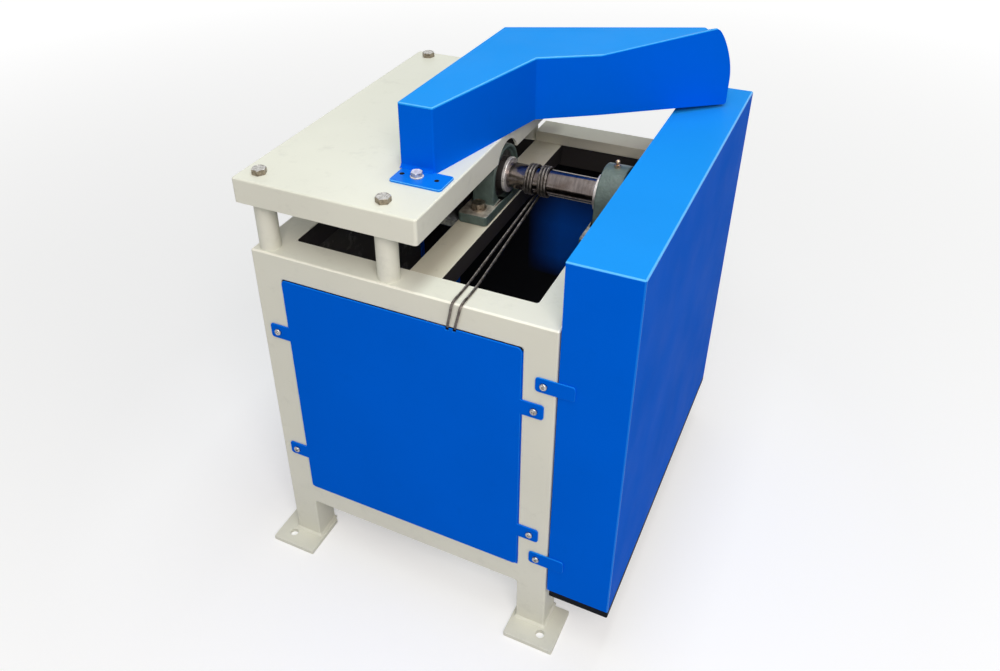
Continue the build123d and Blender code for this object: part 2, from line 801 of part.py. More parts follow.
fan_r = motor_r - fan_gap
fan_x0 = motor_end_x + motor_fan_l / 3
fan_x1 = motor_tail_x - motor_fan_l / 4
with BuildPart() as motor_fan:
    rod(fan_x0, fan_x1, motor_shaft_d, motor_y, motor_z)
    rod(fan_x1 - fan_disc, fan_x1, fan_r, motor_y, motor_z)
    with BuildSketch(Plane.YZ.offset(fan_x0)):
        with Locations((motor_y, motor_z)):
            with PolarLocations((fan_r + motor_shaft_d) / 2 - motor_fin_t, fan_blades):
                Rectangle(fan_r - motor_shaft_d, motor_fin_t)
    extrude(amount=fan_x1 - fan_x0)
    rod(fan_x0 - 1, fan_x1 + 1, motor_shaft_d / 2 + seat_gap, motor_y, motor_z, Mode.SUBTRACT)
keep(motor_fan, "motor_fan")

with BuildPart() as motor_fan_cover:
    rod(motor_end_x, motor_tail_x, motor_r, motor_y, motor_z)
    fillet(motor_fan_cover.faces().sort_by(Axis.X)[0].edges(), 2 * motor_cover_t)
    rod(motor_end_x + motor_cover_t, motor_tail_x, motor_r - motor_cover_t, motor_y, motor_z, Mode.SUBTRACT)
    with BuildSketch(Plane.YZ.offset(motor_end_x)):
        with Locations((motor_y, motor_z)):
            with PolarLocations(motor_r / 2, vent_count):
                SlotOverall(motor_r / 2, vent_w)
    extrude(amount=2 * motor_cover_t, mode=Mode.SUBTRACT)
keep(motor_fan_cover, "motor_fan_cover")

with BuildPart() as motor_terminal_box:
    block(box_x - box_size / 2, box_x + box_size / 2, motor_y - box_size / 2, motor_y + box_size / 2,
          box_z, box_z + box_h)
    fillet(motor_terminal_box.edges().filter_by(Axis.Z), box_round)
    fillet(motor_terminal_box.faces().sort_by(Axis.Z)[-1].edges(), box_top_round)
keep(motor_terminal_box, "motor_terminal_box")

with BuildPart() as motor_gland:
    side = Plane(origin=(box_x, motor_y - box_size / 2, box_z + box_h / 2), x_dir=(1, 0, 0), z_dir=(0, -1, 0))
    with BuildSketch(side):
        RegularPolygon(gland_d / 2, 6, major_radius=False)
    extrude(amount=gland_nut_h)
    with BuildSketch(side.offset(gland_nut_h)):
        Circle(gland_d / 2 - gland_wall / 2)
    extrude(amount=gland_neck)
    with BuildSketch(side.offset(gland_nut_h + gland_neck)):
        Circle(gland_d / 2 - 1.5 * gland_wall)
    extrude(amount=gland_wall - gland_nut_h - gland_neck, mode=Mode.SUBTRACT)
keep(motor_gland, "motor_gland")

with BuildPart() as motor_plate:
    block(-half_w + motor_plate_in, half_w - motor_plate_in, motor_y - motor_plate_d / 2,
          motor_y + motor_plate_d / 2, low_rail_top, plate_top)
    with Locations(*[(x, y, plate_top) for x, y in motor_bolt_spots]):
        Hole(motor_bolt_d / 2 + hole_gap, depth=motor_plate_t)
keep(motor_plate, "motor_plate")

motor_bolt = hex_bolt(
    motor_bolt_d, hood_bolt_af, hood_bolt_head, hood_washer_d, hood_washer_t, motor_foot_h + 2 * motor_plate_t
)
group(motor_bolt, [(x, y, foot_top) for x, y in motor_bolt_spots], "motor_bolts")

# Belt guard: a sheet box, open to the frame behind a lip, with four straps on the legs
def guard_box(inset, below):
    """The outside of the guard, or its inside when inset by the sheet and cut through below."""
    with BuildPart() as box:
        block(guard_x0 + inset, guard_x1 - inset, guard_y0 + inset, guard_y1 - inset,
              guard_z - below, guard_top - inset)
        outer = box.faces().sort_by(Axis.X)[-1].edges().sort_by(Axis.Z)[1:]
        crown = box.faces().sort_by(Axis.Z)[-1].edges().filter_by(Axis.X)
        fillet(outer + crown, guard_round - inset)
    return box


with BuildPart() as belt_guard:
    add(guard_box(0, 0).part)
    add(guard_box(guard_t, guard_base_h).part, mode=Mode.SUBTRACT)
    block(guard_x0, guard_x0 + guard_t, guard_y0 + guard_lip, half_d, guard_z, guard_top - guard_lip,
          mode=Mode.SUBTRACT)
    strap_x0 = half_w - strap_on_leg
    strap_x1 = guard_x0 + strap_on_guard
    with BuildSketch(front):
        with Locations(((strap_x0 + strap_x1) / 2, strap_z_low), ((strap_x0 + strap_x1) / 2, strap_z_high)):
            RectangleRounded(strap_x1 - strap_x0, strap_h, tab_round)
    extrude(amount=panel_t)
    for z in (strap_z_low, strap_z_high):
        block(strap_x0, guard_x0 + guard_t, half_d, half_d + panel_t, z - strap_h / 2, z + strap_h / 2)
    with Locations(*[spot(*place) for place in strap_spots]):
        Cylinder(screw_d / 2 + hole_gap, 4 * panel_t, mode=Mode.SUBTRACT)
keep(belt_guard, "belt_guard")

with BuildPart() as guard_base:
    block(guard_x0 + guard_base_in, guard_x1, guard_y0, guard_y1, guard_z - guard_base_h, guard_z)
    fillet(guard_base.edges().filter_by(Axis.Z), guard_round / 2)
    block(guard_x0 + 3 * guard_base_in, guard_x1 - 2 * guard_base_in, guard_y0 + 2 * guard_base_in,
          guard_y1 - 2 * guard_base_in, guard_z - guard_base_h, guard_z, mode=Mode.SUBTRACT)
keep(guard_base, "guard_base_strip")

# Hood: a dog leg of sheet, open below, with a mouth on the operator's side and a bolted foot.
# Its top is flat as far as a fold from the second bend to the rear corner of the end, and from
# there it climbs to the front corner of the end.
run_x = hood_end[0] - hood_bend_2[0]
run_y = hood_end[1] - hood_bend_2[1]
run_l = math.hypot(run_x, run_y)
along = (run_x / run_l, run_y / run_l)
across = (-along[1], along[0])
end_rear = (hood_end[0] + hood_end_w * across[0], hood_end[1] + hood_end_w * across[1])
hood_top = table_top + hood_h
hood_plan = [
    (hood_left_x, hood_front_y),
    (hood_left_x + hood_front_w, hood_front_y),
    hood_bend_1,
    hood_bend_2,
    hood_end,
    end_rear,
    hood_rear,
]
hood_side = Plane(origin=(*hood_bend_2, 0), x_dir=(*along, 0), z_dir=(-across[0], -across[1], 0))
hood_far = 3 * run_l
first_bend = (hood_bend_1[0] - hood_bend_2[0]) * along[0] + (hood_bend_1[1] - hood_bend_2[1]) * along[1]
fold_x = end_rear[0] - hood_bend_2[0]
fold_y = end_rear[1] - hood_bend_2[1]
fold_l = math.hypot(fold_x, fold_y)
fold_side = Plane(
    origin=(*hood_bend_2, 0),
    x_dir=(fold_y / fold_l, -fold_x / fold_l, 0),
    z_dir=(-fold_x / fold_l, -fold_y / fold_l, 0),
)
fold_slope = hood_end_rise * fold_l / (run_x * fold_y - run_y * fold_x)
fold_half = math.tan(math.atan(fold_slope) / 2)
nose_drop = hood_h + hood_end_rise * (1 - hood_nose_in / run_l) - hood_nose_h
nose_lean = hood_nose_in / nose_drop
nose_half = math.tan(math.atan(nose_lean) / 2)


def hood_outline(inset, low, high):
    """The hood's plan, inset by the sheet where asked, as an upright block."""
    with BuildPart(mode=Mode.PRIVATE) as upright:
        with BuildSketch(Plane.XY.offset(low)):
            with BuildLine():
                Polyline(*hood_plan, close=True)
            make_face()
            if inset:
                offset(amount=-inset, kind=Kind.INTERSECTION)
        extrude(amount=high - low)
    return upright.part


def hood_solid(inset, below):
    """The outside of the hood, or its inside when inset by the sheet and cut through below."""
    top = hood_top - inset
    end = run_l - inset
    base = table_top - below
    deep = top - hood_end_rise
    fold = inset * fold_half
    round_top = top + hood_round_clear
    climb_rate = hood_end_rise / run_l
    nose_z = table_top + hood_nose_h - inset * nose_half
    tip_z = (round_top + climb_rate * (end + nose_lean * nose_z)) / (1 + climb_rate * nose_lean)
    with BuildPart(mode=Mode.PRIVATE) as climb:
        with BuildSketch(fold_side):
            with BuildLine():
                Polyline(
                    (fold, deep), (fold, top), (hood_far, top + (hood_far - fold) * fold_slope),
                    (hood_far, deep), close=True,
                )
            make_face()
        extrude(amount=-2 * run_l)
        add(hood_outline(inset, deep - hood_end_rise, top + 2 * hood_end_rise), mode=Mode.INTERSECT)
    with BuildPart() as solid:
        add(hood_outline(inset, base - 2 * hood_end_drop, top))
        add(climb.part)
        with BuildSketch(hood_side):
            with BuildLine():
                Line((-hood_far, round_top), (-hood_far, base))
                Line((-hood_far, base), (first_bend, base))
                Line((first_bend, base), (0, base + hood_mid_lift))
                FilletPolyline(
                    (0, base + hood_mid_lift),
                    (end, base - hood_end_drop),
                    (end, nose_z),
                    (end - nose_lean * (tip_z - nose_z), tip_z),
                    (0, round_top),
                    radius=[hood_end_corner, hood_end_round - inset, hood_nose_round - inset],
                )
                Line((0, round_top), (-hood_far, round_top))
            make_face()
        extrude(amount=2 * run_l, both=True, mode=Mode.INTERSECT)
    return solid


hood_bolt_y = hood_front_y - hood_foot_d + hood_bolt_in
hood_hole_mid = hood_bolt_x + hood_hole_shift
hood_hole_x = (hood_hole_mid - hood_hole_pitch, hood_hole_mid + hood_hole_pitch)
with BuildPart() as hood:
    add(hood_solid(0, 0).part)
    add(hood_solid(hood_t, 2 * hood_end_drop).part, mode=Mode.SUBTRACT)
    block(hood_left_x - hood_t, hood_rear[0] + 2 * hood_t, spindle_y - hood_mouth_half,
          spindle_y + hood_mouth_half, table_top - hood_end_drop, table_top + hood_mouth_h,
          mode=Mode.SUBTRACT)
    with BuildSketch(Plane.XY.offset(table_top)):
        foot_y = hood_front_y - hood_foot_d / 2 + hood_t / 2
        with Locations(((hood_foot_x0 + hood_foot_x1) / 2, foot_y)):
            RectangleRounded(hood_foot_x1 - hood_foot_x0, hood_foot_d + hood_t, hood_foot_round)
        with Locations((hood_bolt_x, hood_bolt_y)):
            Circle(hood_bolt_d / 2 + hole_gap, mode=Mode.SUBTRACT)
        with Locations(*[(x, hood_bolt_y) for x in hood_hole_x]):
            Circle(hood_hole_d / 2, mode=Mode.SUBTRACT)
    extrude(amount=hood_foot_t)
keep(hood, "hood")

hood_bolt = hex_bolt(
    hood_bolt_d, hood_bolt_af, hood_bolt_head, hood_washer_d, hood_washer_t, hood_bolt_len
)
group(hood_bolt, [(hood_bolt_x, hood_bolt_y, table_top + hood_foot_t)], "hood_bolt")

# Two tie wires: up the front rail, over it, taut to the spindle and wound round it
wire_r = wire_d / 2
wire_off = wire_gap + wire_r
edge_bend = tube_round + wire_off
coil_r = spindle_d / 2 + wire_off


def coil_points(coil_x, hand, start_angle, first_tangent):
    """Points and tangents of the winding, four to a turn."""
    points = []
    for count in range(4 * wire_turns + 1):
        angle = start_angle + count * math.pi / 2
        x = coil_x + hand * wire_pitch * count / 4
        place = Vector(x, spindle_y + coil_r * math.cos(angle), spindle_z + coil_r * math.sin(angle))
        rise = hand * wire_pitch / (2 * math.pi)
        way = Vector(rise, -coil_r * math.sin(angle), coil_r * math.cos(angle)).normalized()
        points.append((place, way if count else first_tangent))
    return points


def biarc(start, start_way, end, end_way):
    """Two arcs that leave one point and reach the next along their tangents."""
    chord = end - start
    both = start_way + end_way
    bend = 2 * (1 - start_way.dot(end_way))
    lean_in = chord.dot(both)
    arm = (math.sqrt(lean_in**2 + bend * chord.dot(chord)) - lean_in) / bend
    first = start + start_way * arm
    second = end - end_way * arm
    middle = (first + second) * 0.5
    TangentArc(start, middle, tangent=start_way)
    TangentArc(middle, end, tangent=(second - first).normalized())


def least_gap(wire):
    """Smallest air between stretches of one wire that lie more than four diameters apart on it."""
    steps = int(wire.length / 1.5)
    points = [wire.position_at(step / steps) for step in range(steps + 1)]
    apart = int(4 * wire_d * steps / wire.length)
    least = wire.length
    for index, point in enumerate(points):
        for other in points[index + apart:]:
            least = min(least, (other - point).length)
    return least - wire_d


with BuildPart() as tie_wires:
    for low_x, rail_x_wire, coil_x, hand in zip(wire_low_x, wire_rail_x, wire_coil_x, (-1, 1)):
        front_y = -half_d - wire_off
        over_z = frame_h + wire_off
        under_z = leg_top - wire_off
        to_y = spindle_y + window_y
        to_z = spindle_z - over_z
        climb = math.atan2(to_z, to_y) - math.asin(coil_r / math.hypot(to_y, to_z))
        rail_back = Vector(rail_x_wire, -window_y, over_z)
        touch = Vector(
            coil_x, spindle_y + coil_r * math.sin(climb), spindle_z - coil_r * math.cos(climb)
        )
        turns = coil_points(coil_x, hand, climb - math.pi / 2, (touch - rail_back).normalized())
        with BuildLine() as route:
            FilletPolyline(
                (low_x, front_y + wire_tail, under_z),
                (low_x, front_y, under_z),
                (rail_x_wire, front_y, over_z),
                rail_back,
                touch,
                radius=[edge_bend, edge_bend, wire_ease_r],
            )
            for (start, start_way), (end, end_way) in zip(turns, turns[1:]):
                biarc(start, start_way, end, end_way)
            last, last_way = turns[-1]
            Line(last, last + last_way * wire_d)
        with BuildSketch(Plane(origin=(low_x, front_y + wire_tail, under_z), z_dir=(0, -1, 0))):
            Circle(wire_r)
        sweep(path=route.line)
        wire = route.wire()
        print("tie wire length", round(wire.length, 1), "bends", edge_bend, wire_ease_r,
              "coil", coil_r, "least gap", round(least_gap(wire), 2))
keep(tie_wires, "tie_wire")
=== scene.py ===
import json
import math

import bmesh
import bpy
from bpy.props import FloatProperty, FloatVectorProperty, IntProperty, PointerProperty
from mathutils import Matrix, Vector

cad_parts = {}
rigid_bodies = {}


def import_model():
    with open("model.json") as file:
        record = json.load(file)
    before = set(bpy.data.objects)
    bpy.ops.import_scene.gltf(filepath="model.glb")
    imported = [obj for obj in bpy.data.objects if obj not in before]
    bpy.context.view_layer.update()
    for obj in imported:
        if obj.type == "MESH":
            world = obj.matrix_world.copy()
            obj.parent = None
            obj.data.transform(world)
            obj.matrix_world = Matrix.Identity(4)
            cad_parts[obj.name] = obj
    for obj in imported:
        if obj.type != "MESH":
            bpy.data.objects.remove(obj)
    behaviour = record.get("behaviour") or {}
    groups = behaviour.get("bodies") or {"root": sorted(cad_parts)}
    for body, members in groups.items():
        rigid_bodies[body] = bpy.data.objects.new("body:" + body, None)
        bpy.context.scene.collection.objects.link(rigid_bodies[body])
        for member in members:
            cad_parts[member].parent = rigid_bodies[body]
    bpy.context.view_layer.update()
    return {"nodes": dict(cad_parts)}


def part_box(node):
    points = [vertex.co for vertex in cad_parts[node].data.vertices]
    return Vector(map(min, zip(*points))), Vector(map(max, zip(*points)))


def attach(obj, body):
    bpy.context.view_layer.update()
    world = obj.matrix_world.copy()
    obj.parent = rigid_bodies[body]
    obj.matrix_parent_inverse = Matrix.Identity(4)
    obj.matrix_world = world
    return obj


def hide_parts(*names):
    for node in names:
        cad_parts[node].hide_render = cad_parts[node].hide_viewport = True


for leftover in list(bpy.data.objects):
    bpy.data.objects.remove(leftover)
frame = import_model()

bl_info = {
    "name": "Bamboo knot removing machine",
    "version": (1, 0, 0),
    "blender": (4, 5, 0),
    "location": "View3D > Sidebar > Knot machine",
    "description": "Dresses the machine's solids with painted steel, castings, fasteners and tie wires",
    "category": "Mesh",
}

MM = 0.001
X, Y, Z = range(3)
UP = Vector((0, 0, 1))
CORNERS = ("front_left", "front_right", "rear_left", "rear_right")
# Two places this close count as one
NEAR = 0.1 * MM
# A reach that carries a cutting tool past the whole machine
FAR = 600 * MM
# The line that the spindle turns about
SPINDLE_Y = 5 * MM
SPINDLE_Z = 820 * MM
# The frame's outer faces, the cover sheet on them, and the heights of its tabs and straps
FRAME_X = 300 * MM
FRAME_Y = 350 * MM
SHEET = 3 * MM
TAB_HEIGHTS = (274 * MM, 584 * MM)
STRAP_HEIGHTS = (212 * MM, 644 * MM)


def shade(red, green, blue):
    """A paint chip's eight bit colour as linear light."""
    parts = [part / 255 for part in (red, green, blue)]
    return tuple(part / 12.92 if part < 0.04045 else ((part + 0.055) / 1.055) ** 2.4 for part in parts)


# Settings


class KnotMachineSizes(bpy.types.PropertyGroup):
    """Sizes of the dressed details"""

    tube_round: FloatProperty(
        name="Tube edge", description="Rounding along the outer edges of the square tube",
        default=4 * MM, min=0.5 * MM, max=8 * MM, unit="LENGTH",
    )
    window_round: FloatProperty(
        name="Window corner", description="Rounding in the inner corners of the frame's windows",
        default=8 * MM, min=1 * MM, max=15 * MM, unit="LENGTH",
    )
    window_edge: FloatProperty(
        name="Window edge", description="Rounding along the outer edges of the frame's windows",
        default=1.2 * MM, min=0.3 * MM, max=4 * MM, unit="LENGTH",
    )
    opening_edge: FloatProperty(
        name="Opening edge", description="Rounding along the inner edges of the frame's top",
        default=2 * MM, min=0.5 * MM, max=4 * MM, unit="LENGTH",
    )
    sheet_edge: FloatProperty(
        name="Sheet edge", description="Rounding along the cut edges of the cover sheets",
        default=0.8 * MM, min=0.2 * MM, max=1.4 * MM, unit="LENGTH",
    )
    fold_round: FloatProperty(
        name="Fold", description="Outside radius of the folds in the hood",
        default=3 * MM, min=1 * MM, max=6 * MM, unit="LENGTH",
    )
    weld_size: FloatProperty(
        name="Weld", description="Leg length of the fillet welds",
        default=5 * MM, min=1 * MM, max=8 * MM, unit="LENGTH",
    )
    cast_round: FloatProperty(
        name="Casting edge", description="Rounding along the edges of the cast pillow blocks",
        default=2.5 * MM, min=0.5 * MM, max=4 * MM, unit="LENGTH",
    )
    wire_strands: IntProperty(
        name="Wire strands", description="Number of strands twisted into each tie wire",
        default=6, min=2, max=8,
    )


class KnotMachineColours(bpy.types.PropertyGroup):
    """Colours of the dressed finishes"""

    frame_paint: FloatVectorProperty(
        name="Frame paint", description="Ivory enamel of the frame, table and posts",
        default=shade(228, 228, 214), size=3, min=0, max=1, subtype="COLOR",
    )
    cover_paint: FloatVectorProperty(
        name="Cover paint", description="Blue enamel of the hood, guard and panels",
        default=shade(0, 100, 226), size=3, min=0, max=1, subtype="COLOR",
    )
    # The paler blue on level faces is painted light from above, not dust
    lit_top_paint: FloatVectorProperty(
        name="Upper cover paint", description="The blue enamel where fine dust lies on level faces",
        default=shade(28, 146, 236), size=3, min=0, max=1, subtype="COLOR",
    )
    casting_paint: FloatVectorProperty(
        name="Casting paint", description="Grey green hammer finish of the pillow blocks",
        default=shade(76, 92, 86), size=3, min=0, max=1, subtype="COLOR",
    )
    motor_paint: FloatVectorProperty(
        name="Motor paint", description="Enamel of the motor",
        default=shade(52, 84, 120), size=3, min=0, max=1, subtype="COLOR",
    )
    # The dark primer is painted shade on inner faces and in holes
    inside_painted_shade: FloatVectorProperty(
        name="Inside primer", description="Dark primer on the inside of the frame and panels",
        default=shade(46, 43, 42), size=3, min=0, max=1, subtype="COLOR",
    )
    strip_paint: FloatVectorProperty(
        name="Strip paint", description="Black of the strip under the guard",
        default=shade(17, 21, 28), size=3, min=0, max=1, subtype="COLOR",
    )


def sizes():
    return bpy.context.scene.knot_machine_sizes


def colours():
    return bpy.context.scene.knot_machine_colours


# Modelling by hand


def deselect_all():
    if bpy.context.object and bpy.context.object.mode != "OBJECT":
        bpy.ops.object.mode_set(mode="OBJECT")
    bpy.ops.object.select_all(action="DESELECT")


def take(piece, *others):
    """Select one piece alone, or with others, and make it the active one."""
    deselect_all()
    for each in (piece, *others):
        each.select_set(True)
    bpy.context.view_layer.objects.active = piece


def named(piece, name):
    piece.name = name
    piece.data.name = name
    return piece


def settle():
    """Work the active piece's place, turn and scale into its mesh."""
    bpy.ops.object.transform_apply(location=True, rotation=True, scale=True)


def add_block(name, low, high):
    """A box between two corners."""
    low, high = Vector(low), Vector(high)
    deselect_all()
    bpy.ops.mesh.primitive_cube_add(size=1, location=(low + high) / 2)
    piece = bpy.context.object
    piece.scale = high - low
    settle()
    return named(piece, name)


def add_rod(name, start, end, radius, sides=48):
    """A round or many sided bar between two points."""
    start, end = Vector(start), Vector(end)
    way = end - start
    deselect_all()
    bpy.ops.mesh.primitive_cylinder_add(
        vertices=sides, radius=radius, depth=way.length, location=(start + end) / 2,
        rotation=way.to_track_quat("Z", "Y").to_euler(),
    )
    settle()
    return named(bpy.context.object, name)


def add_axle(name, start_x, end_x, radius):
    """A smooth round bar on the spindle's line."""
    return add_rod(name, (start_x, SPINDLE_Y, SPINDLE_Z), (end_x, SPINDLE_Y, SPINDLE_Z), radius, 96)


def open_whole(piece):
    """Open the piece in edit mode with everything selected."""
    take(piece)
    bpy.ops.object.mode_set(mode="EDIT")
    bpy.ops.mesh.select_all(action="SELECT")


def choose(piece, kind, test):
    """Open the piece in edit mode with only the vertices, edges or faces that pass the test selected."""
    take(piece)
    bpy.ops.object.mode_set(mode="EDIT")
    bpy.ops.mesh.select_mode(type=kind)
    bpy.ops.mesh.select_all(action="DESELECT")
    mesh = bmesh.from_edit_mesh(piece.data)
    found = [x for x in {"VERT": mesh.verts, "EDGE": mesh.edges, "FACE": mesh.faces}[kind] if test(x)]
    if not found:
        raise RuntimeError(f"{piece.name}: no {kind.lower()} is where it should be")
    for x in found:
        x.select_set(True)
    mesh.select_flush_mode()
    bmesh.update_edit_mesh(piece.data)


def close_edit():
    bpy.ops.object.mode_set(mode="OBJECT")


def middle(edge):
    return (edge.verts[0].co + edge.verts[1].co) / 2


def runs_along(edge, axis):
    way = edge.verts[1].co - edge.verts[0].co
    return abs(way[axis]) > 0.999 * way.length


def faces_way(face, way):
    return face.normal.dot(Vector(way)) > 0.99


def faces_down(face):
    return faces_way(face, -UP)


def round_edges(piece, test, radius, segments=4, profile=0.5, paint=-1):
    """Bevel the edges that pass the test; the new strips can take a finish by its number."""
    choose(piece, "EDGE", test)
    bpy.ops.mesh.bevel(
        offset=radius, segments=segments, profile=profile, affect="EDGES",
        clamp_overlap=False, material=paint,
    )
    close_edit()


def drop_faces(piece, test):
    choose(piece, "FACE", test)
    bpy.ops.mesh.delete(type="FACE")
    close_edit()


def pull_face(piece, test, inset, way):
    """Inset the chosen face and extrude it."""
    choose(piece, "FACE", test)
    bpy.ops.mesh.inset(thickness=inset, depth=0)
    bpy.ops.mesh.extrude_region_move(TRANSFORM_OT_translate={"value": way})
    close_edit()


def move_points(piece, test, way):
    choose(piece, "VERT", test)
    bpy.ops.transform.translate(value=way)
    close_edit()


def use_modifier(piece, kind, **settings):
    """Add a modifier, set it and apply it."""
    take(piece)
    change = piece.modifiers.new(kind.lower(), kind)
    for key, value in settings.items():
        setattr(change, key, value)
    bpy.ops.object.modifier_apply(modifier=change.name)


def combine(piece, tool, how, **settings):
    """Join a tool to the piece or cut it away, then drop the tool."""
    use_modifier(piece, "BOOLEAN", operation=how, object=tool, solver="EXACT", **settings)
    bpy.data.objects.remove(tool)
    return piece


def cut(piece, tool):
    return combine(piece, tool, "DIFFERENCE")


def fuse(piece, tool):
    return combine(piece, tool, "UNION")


def drill(piece, start, end, radius):
    """Drill a hole whose wall has the dark primer, painted shade inside the hole."""
    tool = add_rod("drill", start, end, radius, 32)
    coat(tool, "inside")
    combine(piece, tool, "DIFFERENCE", material_mode="TRANSFER")


def tidy_mesh(piece, angle=1.0):
    """Merge doubled points and melt the seams that lie within flat faces."""
    open_whole(piece)
    bpy.ops.mesh.remove_doubles(threshold=0.02 * MM)
    bpy.ops.mesh.dissolve_limited(angle_limit=math.radians(angle))
    bpy.ops.mesh.normals_make_consistent(inside=False)
    close_edit()


def soften(piece, width, segments=3, angle=40, edge_finish=False):
    """Round every sharp edge; the new strips can take the second finish."""
    use_modifier(
        piece, "BEVEL", width=width, segments=segments, limit_method="ANGLE",
        angle_limit=math.radians(angle), use_clamp_overlap=False, material=1 if edge_finish else -1,
    )


def fold_sheet(piece, thickness):
    """Give a shell its thickness, inwards."""
    use_modifier(piece, "SOLIDIFY", thickness=thickness, offset=-1, use_even_offset=True, use_rim=True)


def join(pieces, name):
    take(*pieces)
    bpy.ops.object.join()
    return named(bpy.context.object, name)


def copy_of(piece, name, turn=(0, 0, 0), place=(0, 0, 0)):
    """A copy with its own mesh, turned about the origin and then moved."""
    take(piece)
    bpy.ops.object.duplicate(linked=False)
    twin = bpy.context.object
    twin.rotation_euler = turn
    twin.location = place
    settle()
    return named(twin, name)


def coat(piece, *names):
    """Add finishes to the piece; its faces wear the first one."""
    for name in names:
        piece.data.materials.append(finish(name))


def dress(piece, names, nodes, body="frame"):
    """Give the piece its finishes, smooth it, and let it stand for its nodes."""
    paints = [finish(name) for name in names]
    slots = list(piece.data.materials)
    worn = [slots[f.material_index] if f.material_index < len(slots) else None for f in piece.data.polygons]
    piece.data.materials.clear()
    coat(piece, *names)
    for face, old in zip(piece.data.polygons, worn):
        face.material_index = paints.index(old) if old in paints else 0
    take(piece)
    bpy.ops.object.shade_smooth_by_angle(angle=math.radians(40))
    use_modifier(piece, "WEIGHTED_NORMAL", mode="FACE_AREA", keep_sharp=True)
    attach(piece, body)
    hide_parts(*nodes)
    return piece


def paint_light_on_level_faces(piece):
    """The level faces of a blue cover take the paler blue, painted light from above."""
    coat(piece, "blue_lit_top")
    for face in piece.data.polygons:
        if face.normal.z > 0.75 and face.material_index == 0:
            face.material_index = len(piece.data.materials) - 1


def centre(node):
    low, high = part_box(node)
    return (low + high) / 2


# Finishes


class Finish:
    """One procedural material on object coordinates."""

    def __init__(self, name, colour, roughness, metallic=0.0):
        self.material = bpy.data.materials.new(name)
        self.material.use_nodes = True
        self.tree = self.material.node_tree
        self.shader = self.tree.nodes["Principled BSDF"]
        self.set("Base Color", (*colour, 1))
        self.set("Roughness", roughness)
        self.set("Metallic", metallic)
        self.place = self.tree.nodes.new("ShaderNodeTexCoord").outputs["Object"]
        self.normal = None

    def set(self, socket, value):
        self.shader.inputs[socket].default_value = value

    def link(self, source, target):
        self.tree.links.new(source, target)

    def node(self, kind, **inputs):
        made = self.tree.nodes.new(kind)
        for key, value in inputs.items():
            made.inputs[key].default_value = value
        return made

    def noise(self, scale, detail=3.0, rough=0.5, stretch=(1, 1, 1)):
        """A cloud pattern; stretch squeezes it along X, Y and Z."""
        mapping = self.node("ShaderNodeMapping", Scale=stretch)
        self.link(self.place, mapping.inputs["Vector"])
        made = self.node("ShaderNodeTexNoise", Scale=scale, Detail=detail, Roughness=rough)
        self.link(mapping.outputs["Vector"], made.inputs["Vector"])
        return made.outputs["Fac"]

    def cells(self, scale):
        made = self.node("ShaderNodeTexVoronoi", Scale=scale)
        made.feature = "SMOOTH_F1"
        self.link(self.place, made.inputs["Vector"])
        return made.outputs["Distance"]

    def ramp(self, pattern, stops):
        """Colours along a pattern: (place, colour) pairs."""
        made = self.node("ShaderNodeValToRGB")
        band = made.color_ramp
        while len(band.elements) < len(stops):
            band.elements.new(0.5)
        for element, (place, colour) in zip(band.elements, stops):
            element.position = place
            element.color = (*colour, 1)
        self.link(pattern, made.inputs["Fac"])
        return made.outputs["Color"]

    def spread(self, pattern, low, high, start=0.3, end=0.7):
        """Map a pattern to a range of numbers."""
        made = self.node("ShaderNodeMapRange")
        for key, value in (("From Min", start), ("From Max", end), ("To Min", low), ("To Max", high)):
            made.inputs[key].default_value = value
        self.link(pattern, made.inputs["Value"])
        return made.outputs["Result"]

    def mix(self, share, first, second):
        """Blend two colours by a pattern."""
        made = self.node("ShaderNodeMix")
        made.data_type = "RGBA"
        self.link(share, made.inputs[0])
        for socket, value in ((made.inputs[6], first), (made.inputs[7], second)):
            if isinstance(value, tuple):
                socket.default_value = (*value, 1)
            else:
                self.link(value, socket)
        return made.outputs[2]

    def colour(self, source):
        self.link(source, self.shader.inputs["Base Color"])

    def roughness(self, source):
        self.link(source, self.shader.inputs["Roughness"])

    def bump(self, pattern, depth, strength=1.0):
        """Add a relief of that depth in metres."""
        made = self.node("ShaderNodeBump", Strength=strength, Distance=depth)
        self.link(pattern, made.inputs["Height"])
        if self.normal:
            self.link(self.normal, made.inputs["Normal"])
        self.normal = made.outputs["Normal"]
        self.link(self.normal, self.shader.inputs["Normal"])

    def parts(self):
        """The place's own X, Y and Z."""
        made = self.node("ShaderNodeSeparateXYZ")
        self.link(self.place, made.inputs["Vector"])
        return made.outputs


def tint(colour, factor):
    return tuple(min(1.0, c * factor) for c in colour)


FINISHES = {}


def finish(name):
    return FINISHES[name].material


def enamel(name, colour, roughness, dirt, dirt_share, peel, gloss=0.5, gloss_tint=(1, 1, 1)):
    """Sprayed enamel: faint clouds, a little dirt, an orange peel skin."""
    made = Finish(name, colour, roughness)
    made.set("Specular IOR Level", gloss)
    made.set("Specular Tint", (*gloss_tint, 1))
    clouds = made.ramp(made.noise(4, 4), [(0.3, tint(colour, 0.965)), (0.7, tint(colour, 1.03))])
    specks = made.spread(made.noise(28, 6, 0.7), 0.0, dirt_share, 0.56, 0.78)
    made.colour(made.mix(specks, clouds, dirt))
    made.roughness(made.spread(made.noise(9, 4), roughness - 0.05, roughness + 0.07))
    made.bump(made.noise(420, 2), peel, 0.35)
    made.bump(made.noise(7, 3), 0.5 * MM, 0.12)
    return made


